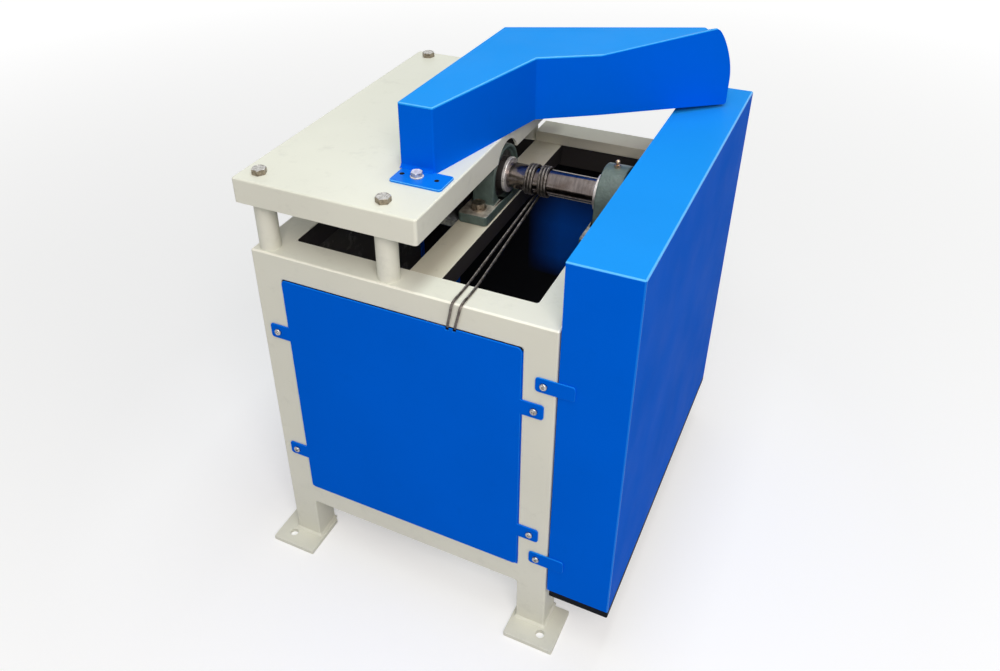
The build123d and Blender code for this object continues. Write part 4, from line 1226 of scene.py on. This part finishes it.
def hex_bolt(flats, head, washer_d, washer_t):
    """A hexagon head on its washer, seat at z = 0, standing on the origin."""
    washer = add_rod("washer", -UP * 0.5 * MM, UP * washer_t, washer_d / 2, 48)
    if washer_t > 1 * MM:
        soften(washer, 0.5 * MM, 2)
    corner = flats / 2 / math.cos(math.pi / 6)
    top = washer_t + head
    body = add_rod("head", UP * (washer_t - 0.2 * MM), UP * top, corner, 6)
    crown = add_rod("crown", UP * (washer_t - 2 * MM), UP * top, corner, 64)
    round_edges(crown, lambda e: middle(e).z > top - NEAR, flats * 0.075, 2)
    combine(body, crown, "INTERSECT")
    tidy_mesh(body, 0.5)

    def on_crown(face):
        return faces_way(face, UP) and face.calc_center_median().z > top - NEAR

    pull_face(body, on_crown, flats * 0.05, -UP * 0.5 * MM)
    soften(body, 0.3 * MM, 2, 35)
    return join([body, washer], "bolt")


def stain_and_shade_flats(bolts):
    """The crowns wear the first finish and the flats the second; paler crowns over darker flats are painted
    light and shade by how the faces turn.
    """
    for face in bolts.data.polygons:
        face.material_index = 0 if face.normal.z > 0.35 else 1


def bolt_copies(bolt, name, spots):
    """Copies of a bolt at (turn, place) pairs, joined, in place of the bolt itself."""
    copies = [copy_of(bolt, "bolt", (0, 0, turn), place) for turn, place in spots]
    bpy.data.objects.remove(bolt)
    return join(copies, name)


class KNOTMACHINE_OT_hex_bolts(bpy.types.Operator):
    """Model the hexagon bolts of the table, the pillow blocks and the hood"""

    bl_idname = "knot_machine.hex_bolts"
    bl_label = "Hexagon bolts"

    def execute(self, context):
        bolt = hex_bolt(flats=24 * MM, head=10 * MM, washer_d=22.8 * MM, washer_t=0.6 * MM)
        table_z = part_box("work_table")[1].z
        spots = []
        for number, corner in enumerate(CORNERS):
            post = centre("table_post_" + corner)
            spots.append((0.4 + 0.7 * number, (post.x, post.y, table_z)))
        bolts = bolt_copies(bolt, "table_hex_bolts", spots)
        stain_and_shade_flats(dress(bolts, ["zinc", "stain_and_painted_shade"], ["table_bolts"]))

        bolt = hex_bolt(flats=24 * MM, head=10 * MM, washer_d=31 * MM, washer_t=3 * MM)
        spots = []
        for number, side in enumerate(("left", "right")):
            node = "bearing_housing_" + side
            seat_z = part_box(node)[0].z + BLOCK_BASE
            for way in (-1, 1):
                place = (centre(node).x, SPINDLE_Y + way * BLOCK_BOLT_Y, seat_z)
                spots.append((0.2 + 0.5 * number + way, place))
        bolts = bolt_copies(bolt, "bearing_hex_bolts", spots)
        # The bearing bolts wear the brown zinc all over, partly painted shade under the table
        dress(bolts, ["stain_and_painted_shade"], ["bearing_bolts"])

        head, washer = 8 * MM, 2 * MM
        bolt = hex_bolt(flats=19 * MM, head=head, washer_d=24 * MM, washer_t=washer)
        place = centre("hood_bolt")
        place.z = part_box("hood_bolt")[1].z - head - washer
        set_bolt = copy_of(bolt, "hood_hex_bolt", (0, 0, 0.3), place)
        bpy.data.objects.remove(bolt)
        # The hood bolt's crown takes the paler zinc as painted light
        stain_and_shade_flats(dress(set_bolt, ["bright", "zinc"], ["hood_bolt"]))
        return {"FINISHED"}


# Pillow blocks and spindle


BLOCK_BASE = 20 * MM
BLOCK_BOLT_Y = 79.5 * MM
BOSS_RADIUS = 58 * MM
BOSS_HALF = 22 * MM
WEB_FOOT_HALF = 62 * MM
RECESS_RADIUS = 51 * MM
RECESS_DEPTH = 6 * MM
BORE_RADIUS = 45.1 * MM
BASE_CORNER = 8 * MM


def pillow_block(node, name):
    """A cast block: base, round boss on flanks, bore and face recesses."""
    low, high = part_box(node)
    x = centre(node).x
    left, right = x - BOSS_HALF, x + BOSS_HALF
    base_top = low.z + BLOCK_BASE
    body = add_block(name, low, (high.x, high.y, base_top))
    round_edges(body, lambda e: runs_along(e, Z), BASE_CORNER, 5)
    boss = add_axle("boss", left, right, BOSS_RADIUS)
    web_low = (left, SPINDLE_Y - BOSS_RADIUS, low.z + 2 * MM)
    web = add_block("web", web_low, (right, SPINDLE_Y + BOSS_RADIUS, SPINDLE_Z))
    choose(web, "VERT", lambda v: v.co.z < base_top)
    bpy.ops.transform.resize(
        value=(1, WEB_FOOT_HALF / BOSS_RADIUS, 1), center_override=(x, SPINDLE_Y, low.z),
    )
    close_edit()
    fuse(boss, web)
    fuse(body, boss)
    for face_x, way in ((left, -1), (right, 1)):
        cut(body, add_axle("recess", face_x - way * RECESS_DEPTH, face_x + way * RECESS_DEPTH, RECESS_RADIUS))
    cut(body, add_axle("bore", x - 100 * MM, x + 100 * MM, BORE_RADIUS))
    tidy_mesh(body, 0.5)
    soften(body, sizes().cast_round, 3, 45)
    return body


def grease_nipple():
    """A hexagon foot, a neck and a ball with a small mouth, standing on the origin."""
    foot = 5 * MM
    nipple = add_rod("nipple", -UP * MM, UP * foot, 5.5 * MM / math.cos(math.pi / 6), 6)

    def on_foot(face):
        return face.normal.z > 0.9 and face.calc_center_median().z > foot - MM

    pull_face(nipple, on_foot, 3.4 * MM, UP * 3 * MM)
    soften(nipple, 0.5 * MM, 2, 30)
    deselect_all()
    bpy.ops.mesh.primitive_uv_sphere_add(segments=24, ring_count=12, radius=4.2 * MM, location=UP * 10.4 * MM)
    ball = bpy.context.object
    settle()
    neck = add_rod("neck", UP * 4 * MM, UP * 10 * MM, 3.4 * MM, 24)
    cut(ball, add_rod("mouth", UP * 13.4 * MM, UP * 16 * MM, 0.9 * MM, 12))
    return join([nipple, neck, ball], "nipple")


class KNOTMACHINE_OT_pillow_blocks(bpy.types.Operator):
    """Model the cast pillow blocks, with a milled pad under each bolt, and the grease nipples"""

    bl_idname = "knot_machine.pillow_blocks"
    bl_label = "Pillow blocks"

    def execute(self, context):
        nodes = ["bearing_housing_left", "bearing_housing_right"]
        for node, side in zip(nodes, ("left", "right")):
            block = pillow_block(node, "cast_pillow_block_" + side)
            base_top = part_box(node)[0].z + BLOCK_BASE
            coat(block, "casting", "milled")
            for face in block.data.polygons:
                if face.normal.z > 0.9 and abs(face.center.z - base_top) < 0.3 * MM:
                    face.material_index = 1
            dress(block, ["casting", "milled"], [node])

        nipple = grease_nipple()
        tops = [(centre(node).x, SPINDLE_Y, SPINDLE_Z + BOSS_RADIUS) for node in nodes]
        copies = [copy_of(nipple, "nipple", place=top) for top in tops]
        bpy.data.objects.remove(nipple)
        dress(join(copies, "brass_grease_nipples"), ["brass"], ["grease_nipples"])
        return {"FINISHED"}


class KNOTMACHINE_OT_spindle(bpy.types.Operator):
    """Turn the spindle: journal, cutter seat, nose and pulley seat"""

    bl_idname = "knot_machine.spindle"
    bl_label = "Spindle"

    def execute(self, context):
        low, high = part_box("spindle")
        radius, journal_start, journal_end, seat_start = 25 * MM, -10 * MM, 303 * MM, -52 * MM
        seat_step, nose_step, pulley_step = 5 * MM, 2 * MM, 4 * MM
        bar = add_axle("turned_spindle", journal_start, journal_end, radius)

        def left_face(x):
            return lambda f: faces_way(f, (-1, 0, 0)) and abs(f.calc_center_median().x - x) < NEAR

        def at_end(edge):
            gap = min(abs(middle(edge).x - end) for end in (low.x, high.x))
            return gap < NEAR and not runs_along(edge, X)

        pull_face(bar, left_face(journal_start), seat_step, (seat_start - journal_start, 0, 0))
        pull_face(bar, left_face(seat_start), nose_step, (low.x - seat_start, 0, 0))
        pull_face(bar, lambda f: faces_way(f, (1, 0, 0)), pulley_step, (high.x - journal_end, 0, 0))
        round_edges(bar, at_end, 2 * MM, 1)
        soften(bar, 0.5 * MM, 2, 50)
        dress(bar, ["steel"], ["spindle"], body="spindle")
        return {"FINISHED"}


# Belt guard and hood


STRAP_START = 263 * MM
STRAP_HALF = 15 * MM
COVER_SHEET = 2 * MM


def guard_box(low, high):
    """The guard's folded sheet, open below and towards the frame, with a painted highlight along the upper
    folds and paler painted light on the other fold strips.
    """
    box = add_block("belt_guard_sheet", low, high)

    def is_fold(edge):
        spot = middle(edge)
        at_side = spot.x > high.x - NEAR
        at_top = spot.z > high.z - NEAR
        at_end = min(spot.y - low.y, high.y - spot.y) < NEAR
        at_foot = spot.z < low.z + NEAR
        return not at_foot and ((at_side and (at_top or at_end)) or (at_top and at_end))

    coat(box, "blue", "blue_pale_painted_light")
    round_edges(box, is_fold, 3 * MM, 4, paint=1)
    # Fold strips that face upwards take the painted highlight
    coat(box, "blue_painted_highlight")
    for face in box.data.polygons:
        if face.material_index == 1 and face.normal.z > 0.5:
            face.material_index = 2
    drop_faces(box, faces_down)
    fold_sheet(box, COVER_SHEET)
    rim = 20 * MM
    opening_low = (low.x - 8 * MM, low.y + rim, 100 * MM)
    return cut(box, add_block("opening", opening_low, (low.x + 5 * MM, FRAME_Y, high.z - rim)))


def guard_straps():
    """The straps that hold the guard to the frame's legs, two in front and two behind."""
    straps = []
    # near face, end on the guard, and how far along the corners are rounded
    kinds = ((-FRAME_Y - SHEET, 333 * MM, FAR), (FRAME_Y, 305 * MM, 270 * MM))
    for z in STRAP_HEIGHTS:
        for y, end, rounded_to in kinds:
            strap = add_block("strap", (STRAP_START, y, z - STRAP_HALF), (end, y + SHEET, z + STRAP_HALF))
            round_edges(strap, lambda e: runs_along(e, Y) and middle(e).x < rounded_to, TAB_CORNER, 4)
            straps.append(strap)
    for strap in straps:
        # The straps' edge strips take the paler blue, painted light
        coat(strap, "blue", "blue_pale_painted_light")
        soften(strap, sizes().sheet_edge, 3, 50, edge_finish=True)
    return straps


class KNOTMACHINE_OT_belt_guard(bpy.types.Operator):
    """Fold the belt guard from sheet, with its straps and the black strip under it"""

    bl_idname = "knot_machine.belt_guard"
    bl_label = "Belt guard"

    def execute(self, context):
        strip_low, strip_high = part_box("guard_base_strip")
        low = Vector((FRAME_X + SHEET, -FRAME_Y, strip_high.z))
        box = guard_box(low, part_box("belt_guard")[1])
        guard = join([box, *guard_straps()], "belt_guard_sheet")
        paint_light_on_level_faces(guard)
        dress(guard, ["blue", "blue_pale_painted_light", "blue_painted_highlight", "blue_lit_top"], ["belt_guard"])

        strip = add_block("guard_foot_strip", strip_low, strip_high)
        round_edges(strip, lambda e: runs_along(e, Z), 3 * MM, 4)
        wall = Vector((8, 8, -20)) * MM
        cut(strip, add_block("inside", strip_low + wall, strip_high - wall))
        soften(strip, 1.0 * MM, 3, 50)
        dress(strip, ["black"], ["guard_base_strip"])
        return {"FINISHED"}


# Corners of the hood seen from above, in millimetres, from the foot along the front to the arm's tip
HOOD_PLAN = ((-55, -208), (11, -208), (80.5, 77), (184, 137), (391, 319))
HOOD_REAR = (-46, 217)
HOOD_END_WIDTH = 73 * MM
HOOD_TOP = 1030 * MM
# How far the arm's tip rises at the top, its bend lifts off the table and its tip drops below
HOOD_RISE = 30 * MM
HOOD_LIFT = 2.5 * MM
HOOD_DROP = 10 * MM
# The rolled end: where it starts back from the tip and above the table, and its two radii
NOSE_BACK = 39.7 * MM
NOSE_UP = 94.9 * MM
NOSE_ROUND = 18 * MM
END_ROUND = 158 * MM
# What the trimming block stands out past the hood
TRIM_ROOM = 0.2 * MM
# The side opening over the cutter, and the foot with its bend
MOUTH_X = (-62 * MM, -42 * MM)
MOUTH_Y_HALF = 135 * MM
MOUTH_UP = 80 * MM
FOOT_LOW = (-50 * MM, -261 * MM)
FOOT_HIGH = (49.5 * MM, -206.5 * MM)
FOOT_SHEET = 4 * MM
BEND_LOW = (-54 * MM, -214 * MM)
BEND_HIGH = (10 * MM, -207.5 * MM)
BOLT_HOLE = 6.3 * MM


class HoodPlan:
    """The hood's corners on the ground, and the arm that runs from its bend to its tip."""

    def __init__(self):
        self.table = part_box("work_table")[1].z
        self.corners = [Vector((x, y, 0)) * MM for x, y in HOOD_PLAN]
        self.bend, self.tip = self.corners[3:]
        self.along = (self.tip - self.bend).normalized()
        self.across = Vector((-self.along.y, self.along.x, 0))
        self.run = (self.tip - self.bend).length
        self.slope = math.atan2(HOOD_RISE, self.run)
        self.rear_tip = self.tip + self.across * HOOD_END_WIDTH
        self.corners += [self.rear_tip, Vector((*HOOD_REAR, 0)) * MM]

    def is_upper(self, vert):
        return vert.co.z > self.table + 50 * MM

    def is_over(self, vert, *spots):
        """Whether a point stands over one of the corners."""
        return any((Vector((vert.co.x, vert.co.y, 0)) - spot).length < NEAR for spot in spots)

    def is_fold(self, edge):
        """Whether an edge is a fold, and not the foot's or the tip's open edge."""
        if any(f.normal.z < -0.9 for f in edge.link_faces) or edge.calc_face_angle() < math.radians(20):
            return False
        return not all(self.is_over(v, self.tip, self.rear_tip) for v in edge.verts)

    def is_front(self, edge):
        """Whether an edge belongs to an upright wall that faces the front or the right."""
        return any(
            abs(f.normal.z) < 0.05 and f.normal.y < 0.1 and f.normal.x > -0.5 for f in edge.link_faces
        )


def hood_walls(plan):
    """Draw the plan point by point, raise it, crease its top, and lift or drop its corners."""
    deselect_all()
    bpy.ops.mesh.primitive_plane_add(size=10 * MM, location=plan.corners[0] + UP * plan.table)
    hood = named(bpy.context.object, "hood_sheet")
    settle()
    bpy.ops.object.mode_set(mode="EDIT")
    bpy.ops.mesh.select_mode(type="VERT")
    bpy.ops.mesh.select_all(action="SELECT")
    bpy.ops.mesh.merge(type="CENTER")
    for corner, following in zip(plan.corners, plan.corners[1:]):
        bpy.ops.mesh.extrude_region_move(TRANSFORM_OT_translate={"value": following - corner})
    bpy.ops.mesh.select_all(action="SELECT")
    bpy.ops.mesh.edge_face_add()
    bpy.ops.mesh.extrude_region_move(TRANSFORM_OT_translate={"value": UP * (HOOD_TOP - plan.table)})
    bpy.ops.mesh.select_all(action="SELECT")
    bpy.ops.mesh.normals_make_consistent(inside=False)
    close_edit()

    choose(hood, "VERT", lambda v: plan.is_upper(v) and plan.is_over(v, plan.bend, plan.rear_tip))
    bpy.ops.mesh.vert_connect()
    close_edit()
    for upper, height, spots in (
        (True, HOOD_RISE, [plan.tip]),
        (False, HOOD_LIFT, [plan.bend]),
        (False, -HOOD_DROP, [plan.tip, plan.rear_tip]),
    ):
        move_points(hood, lambda v: plan.is_over(v, *spots) and plan.is_upper(v) == upper, UP * height)
    return hood


def fold_hood(hood, plan):
    """Round the folds; those seen from the front get a painted highlight on the crest and paler painted light
    below it, and those at the rear are sharper.
    """
    coat(hood, "blue", "blue_painted_highlight")
    round_edges(hood, lambda e: plan.is_fold(e) and plan.is_front(e), sizes().fold_round, 4, paint=1)
    coat(hood, "blue_lit_top")
    for face in hood.data.polygons:
        if face.material_index == 1:
            face.material_index = 0 if abs(face.normal.z) < 0.05 else 1 if face.normal.z > 0.7 else 2

    def is_rear_fold(edge):
        return plan.is_fold(edge) and not plan.is_front(edge) and edge.calc_face_angle() > math.radians(40)

    round_edges(hood, is_rear_fold, 1 * MM, 3)


def hood_trim(plan):
    """A block laid along the arm: it follows the arm's top and foot, and its far end leans and is rolled."""
    run, bottom, top = plan.run, 700 * MM, HOOD_TOP + TRIM_ROOM
    roll = add_block("rolled_end", (-800 * MM, -FAR, bottom), (run, FAR, top))
    open_whole(roll)
    bpy.ops.mesh.bisect(plane_co=(0, 0, 0), plane_no=(1, 0, 0))
    close_edit()
    move_points(roll, lambda v: v.co.z > 1 and v.co.x > run / 2, UP * HOOD_RISE)
    move_points(roll, lambda v: v.co.z > 1 and v.co.x < -100 * MM, UP * 100 * MM)
    for x, level in ((0, HOOD_LIFT), (run, -HOOD_DROP)):
        foot = plan.table + level - TRIM_ROOM
        move_points(
            roll, lambda v: v.co.z < bottom + 10 * MM and abs(v.co.x - x) < 1 * MM, UP * (foot - bottom),
        )

    def at_heel(edge):
        return runs_along(edge, Y) and middle(edge).z < plan.table and middle(edge).x > run / 2

    round_edges(roll, at_heel, 6 * MM, 6)
    heel = Vector((run, 0, plan.table + NOSE_UP))
    toe = Vector((run - NOSE_BACK, 0, top + math.tan(plan.slope) * (run - NOSE_BACK)))
    lean = math.atan2(heel.x - toe.x, toe.z - heel.z)
    open_whole(roll)
    bpy.ops.mesh.bisect(
        plane_co=heel, plane_no=(math.cos(lean), 0, math.sin(lean)), use_fill=True, clear_outer=True,
    )
    close_edit()
    for corner, radius, turn, steps in (
        (heel, END_ROUND, lean, 14),
        (toe, NOSE_ROUND, math.pi / 2 + plan.slope - lean, 8),
    ):
        round_edges(
            roll, lambda e: runs_along(e, Y) and (middle(e) - corner).length < 1 * MM,
            radius * math.tan(turn / 2), steps,
        )
    take(roll)
    roll.rotation_euler = (0, 0, math.atan2(plan.along.y, plan.along.x))
    roll.location = plan.bend
    settle()
    return roll


def hood_foot(table):
    """The bolted foot with its three holes, and the small bend that joins it to the wall."""
    foot = add_block("hood_foot", (*FOOT_LOW, table), (*FOOT_HIGH, table + FOOT_SHEET))
    round_edges(foot, lambda e: runs_along(e, Z), TAB_CORNER, 5)
    # The foot's faces wear the paler blue as painted light, and its edge strips the painted highlight
    coat(foot, "blue_pale_painted_light", "blue_painted_highlight")
    soften(foot, sizes().sheet_edge, 3, 50, edge_finish=True)
    bolt = centre("hood_bolt")
    for x, radius in ((HOLES_X[0], HOLE_RADIUS), (HOLES_X[1], HOLE_RADIUS), (bolt.x, BOLT_HOLE)):
        drill(foot, (x, bolt.y, table - 10 * MM), (x, bolt.y, table + 20 * MM), radius)
    bend = add_block("bend", (*BEND_LOW, table + 3.8 * MM), (*BEND_HIGH, table + 10 * MM))

    def at_corner(edge):
        return runs_along(edge, X) and middle(edge).y < -210 * MM and middle(edge).z > table + 8 * MM

    round_edges(bend, at_corner, 5.8 * MM, 5, profile=0.12)
    return [foot, bend]


class KNOTMACHINE_OT_hood(bpy.types.Operator):
    """Draw the hood's plan, raise its walls, fold its top, round its end, and add the bolted foot"""

    bl_idname = "knot_machine.hood"
    bl_label = "Hood"

    def execute(self, context):
        plan = HoodPlan()
        hood = hood_walls(plan)
        fold_hood(hood, plan)
        combine(hood, hood_trim(plan), "INTERSECT")
        tidy_mesh(hood, 0.2)
        drop_faces(hood, lambda f: f.normal.z < -0.9)

        def is_rim(edge):
            wall = any(f.normal.dot(plan.across) < -0.99 for f in edge.link_faces)
            rolled = any(f.normal.dot(plan.along) > 0.75 for f in edge.link_faces)
            return wall and rolled and middle(edge).z < HOOD_TOP

        # The rim's strips take the paler blue, painted light
        round_edges(hood, is_rim, 0.6 * MM, 2, paint=2)
        use_modifier(hood, "SOLIDIFY", thickness=COVER_SHEET, offset=-1, use_rim=True)
        mouth_low = (MOUTH_X[0], SPINDLE_Y - MOUTH_Y_HALF, CUTTER_SLOT_Z[0])
        mouth_high = (MOUTH_X[1], SPINDLE_Y + MOUTH_Y_HALF, plan.table + MOUTH_UP)
        cut(hood, add_block("mouth", mouth_low, mouth_high))
        piece = join([hood, *hood_foot(plan.table)], "hood_sheet")
        paint_light_on_level_faces(piece)
        dress(piece, ["blue", "blue_pale_painted_light", "blue_painted_highlight", "inside", "blue_lit_top"], ["hood"])
        return {"FINISHED"}


# Nodes that keep their shape


KEPT_NODES = {
    "bearing_outer_ring_left": "pulley", "bearing_outer_ring_right": "pulley",
    "bearing_inner_ring_left": "collar", "bearing_inner_ring_right": "collar",
    "spindle_nut": "zinc", "cutter_head": "pulley", "cutter_knives": "knife", "knife_screws": "screw",
    "spindle_pulley": "pulley", "motor_pulley": "pulley", "drive_belts": "rubber",
    "motor_housing": "motor", "motor_shield_drive": "motor", "motor_shield_fan": "motor",
    "motor_rotor": "steel", "motor_fan": "plastic", "motor_fan_cover": "motor",
    "motor_terminal_box": "motor", "motor_gland": "plastic", "motor_plate": "black", "motor_bolts": "zinc",
}


class KNOTMACHINE_OT_kept_nodes(bpy.types.Operator):
    """Give the drive, the cutter and the bearing rings their finishes"""

    bl_idname = "knot_machine.kept_nodes"
    bl_label = "Drive and cutter finishes"

    def execute(self, context):
        for node, name in KEPT_NODES.items():
            for slot in frame["nodes"][node].material_slots:
                slot.material = finish(name)
        return {"FINISHED"}


# Stage


# The camera's place in metres, its turn in degrees, and its lens
CAMERA_PLACE = (0.65846, -1.40143, 1.60391)
CAMERA_TURN = (56.3072, 1.4805, 26.8019)
SENSOR_WIDTH = 36
LENS = 31.841
LENS_SHIFT = (0.05285, -0.05931)
FLOOR_HALF = 14
FLOOR_GREY = (0.66, 0.66, 0.66)
# The floor's own glow near the machine and far off, and where the change begins and ends
FLOOR_GLOW = (0.4, 0.8, 1.0, 4.5)
# The surround's strength where it lights the machine; where it is seen it is white
SURROUND_LIGHT = 0.29
# name, place, aim, size, power in watts, colour
LAMPS = (
    ("roof_light", (0.3, -0.2, 3.2), (0.3, 0.0, 0.6), (0.7, 2.6), 31.5, (0.92, 1.0, 1.0)),
    ("front_light", (1.45, -2.4, 3.15), (0.0, 0.0, 0.6), (1.8, 1.8), 68, (1.0, 0.92, 0.88)),
    ("side_light", (3.0, -0.5, 2.0), (0.0, 0.0, 0.6), (1.6, 1.6), 8, (1.0, 0.96, 0.92)),
)


def add_camera():
    deselect_all()
    bpy.ops.object.camera_add(location=CAMERA_PLACE, rotation=[math.radians(a) for a in CAMERA_TURN])
    camera = bpy.context.object
    camera.data.sensor_width = SENSOR_WIDTH
    camera.data.lens = LENS
    camera.data.shift_x, camera.data.shift_y = LENS_SHIFT
    return camera


def seen_share(tree):
    """One for rays from the camera, a gloss or glass, which see white, and nought for the rest."""
    path = tree.nodes.new("ShaderNodeLightPath")
    share = path.outputs["Is Camera Ray"]
    for kind in ("Is Glossy Ray", "Is Transmission Ray"):
        either = tree.nodes.new("ShaderNodeMath")
        either.operation = "MAXIMUM"
        tree.links.new(share, either.inputs[0])
        tree.links.new(path.outputs[kind], either.inputs[1])
        share = either.outputs[0]
    return share


def add_floor():
    """A wide pale floor that shades off to white and keeps the machine's shadow."""
    floor = add_block("studio_floor", (-FLOOR_HALF, -FLOOR_HALF, -50 * MM), (FLOOR_HALF, FLOOR_HALF, 0))
    pale = Finish("pale_floor", FLOOR_GREY, 0.9)
    pale.set("Specular IOR Level", 0.0)
    pale.set("Emission Color", (1, 1, 1, 1))
    away = pale.node("ShaderNodeVectorMath")
    away.operation = "LENGTH"
    pale.link(pale.place, away.inputs[0])
    glow = pale.node("ShaderNodeMath")
    glow.operation = "MULTIPLY"
    pale.link(seen_share(pale.tree), glow.inputs[0])
    pale.link(pale.spread(away.outputs["Value"], *FLOOR_GLOW), glow.inputs[1])
    pale.link(glow.outputs[0], pale.shader.inputs["Emission Strength"])
    floor.data.materials.append(pale.material)


def white_surround():
    """A world that looks white but lights the machine softly."""
    world = bpy.data.worlds.new("white_surround")
    world.use_nodes = True
    tree = world.node_tree
    back = tree.nodes["Background"]
    back.inputs["Color"].default_value = (1, 1, 1, 1)
    level = tree.nodes.new("ShaderNodeMapRange")
    level.inputs["To Min"].default_value = SURROUND_LIGHT
    level.inputs["To Max"].default_value = 1.0
    tree.links.new(seen_share(tree), level.inputs["Value"])
    tree.links.new(level.outputs["Result"], back.inputs["Strength"])
    return world


def soft_light(name, place, aim, size, power, colour):
    deselect_all()
    bpy.ops.object.light_add(type="AREA", location=place)
    lamp = bpy.context.object
    lamp.name = name
    lamp.data.shape = "RECTANGLE"
    lamp.data.size, lamp.data.size_y = size
    lamp.data.energy = power
    lamp.data.color = colour
    lamp.rotation_euler = (Vector(aim) - Vector(place)).to_track_quat("-Z", "Y").to_euler()


class KNOTMACHINE_OT_stage(bpy.types.Operator):
    """Set the camera, the pale floor, the white surround and the soft lights"""

    bl_idname = "knot_machine.stage"
    bl_label = "Stage"

    def execute(self, context):
        scene = context.scene
        scene.view_settings.view_transform = "Standard"
        scene.camera = add_camera()
        add_floor()
        scene.world = white_surround()
        for lamp in LAMPS:
            soft_light(*lamp)
        return {"FINISHED"}


# Sidebar and running order


class KNOTMACHINE_PT_sidebar(bpy.types.Panel):
    """Lists the pieces of the machine and their settings"""

    bl_idname = "KNOTMACHINE_PT_sidebar"
    bl_label = "Knot machine"
    bl_space_type = "VIEW_3D"
    bl_region_type = "UI"
    bl_category = "Knot machine"

    def draw(self, context):
        for step in STEPS:
            self.layout.operator(step.bl_idname)
        for group in (context.scene.knot_machine_sizes, context.scene.knot_machine_colours):
            for key in group.bl_rna.properties.keys():
                if key not in ("rna_type", "name"):
                    self.layout.prop(group, key)


STEPS = (
    KNOTMACHINE_OT_stage,
    KNOTMACHINE_OT_tie_wires,
    KNOTMACHINE_OT_welded_frame,
    KNOTMACHINE_OT_cross_rails,
    KNOTMACHINE_OT_foot_plates,
    KNOTMACHINE_OT_panels,
    KNOTMACHINE_OT_cover_screws,
    KNOTMACHINE_OT_work_table,
    KNOTMACHINE_OT_table_posts,
    KNOTMACHINE_OT_hex_bolts,
    KNOTMACHINE_OT_pillow_blocks,
    KNOTMACHINE_OT_spindle,
    KNOTMACHINE_OT_belt_guard,
    KNOTMACHINE_OT_hood,
    KNOTMACHINE_OT_kept_nodes,
)


def register():
    for group in (KnotMachineSizes, KnotMachineColours, *STEPS, KNOTMACHINE_PT_sidebar):
        bpy.utils.register_class(group)
    bpy.types.Scene.knot_machine_sizes = PointerProperty(type=KnotMachineSizes)
    bpy.types.Scene.knot_machine_colours = PointerProperty(type=KnotMachineColours)


def unregister():
    del bpy.types.Scene.knot_machine_sizes
    del bpy.types.Scene.knot_machine_colours
    for group in (KNOTMACHINE_PT_sidebar, *reversed(STEPS), KnotMachineColours, KnotMachineSizes):
        bpy.utils.unregister_class(group)


def main():
    register()
    make_finishes()
    bpy.ops.knot_machine.stage()
    bpy.ops.knot_machine.tie_wires()
    bpy.ops.knot_machine.welded_frame()
    bpy.ops.knot_machine.cross_rails()
    bpy.ops.knot_machine.foot_plates()
    bpy.ops.knot_machine.panels()
    bpy.ops.knot_machine.cover_screws()
    bpy.ops.knot_machine.work_table()
    bpy.ops.knot_machine.table_posts()
    bpy.ops.knot_machine.hex_bolts()
    bpy.ops.knot_machine.pillow_blocks()
    bpy.ops.knot_machine.spindle()
    bpy.ops.knot_machine.belt_guard()
    bpy.ops.knot_machine.hood()
    bpy.ops.knot_machine.kept_nodes()


if __name__ == "__main__":
    main()
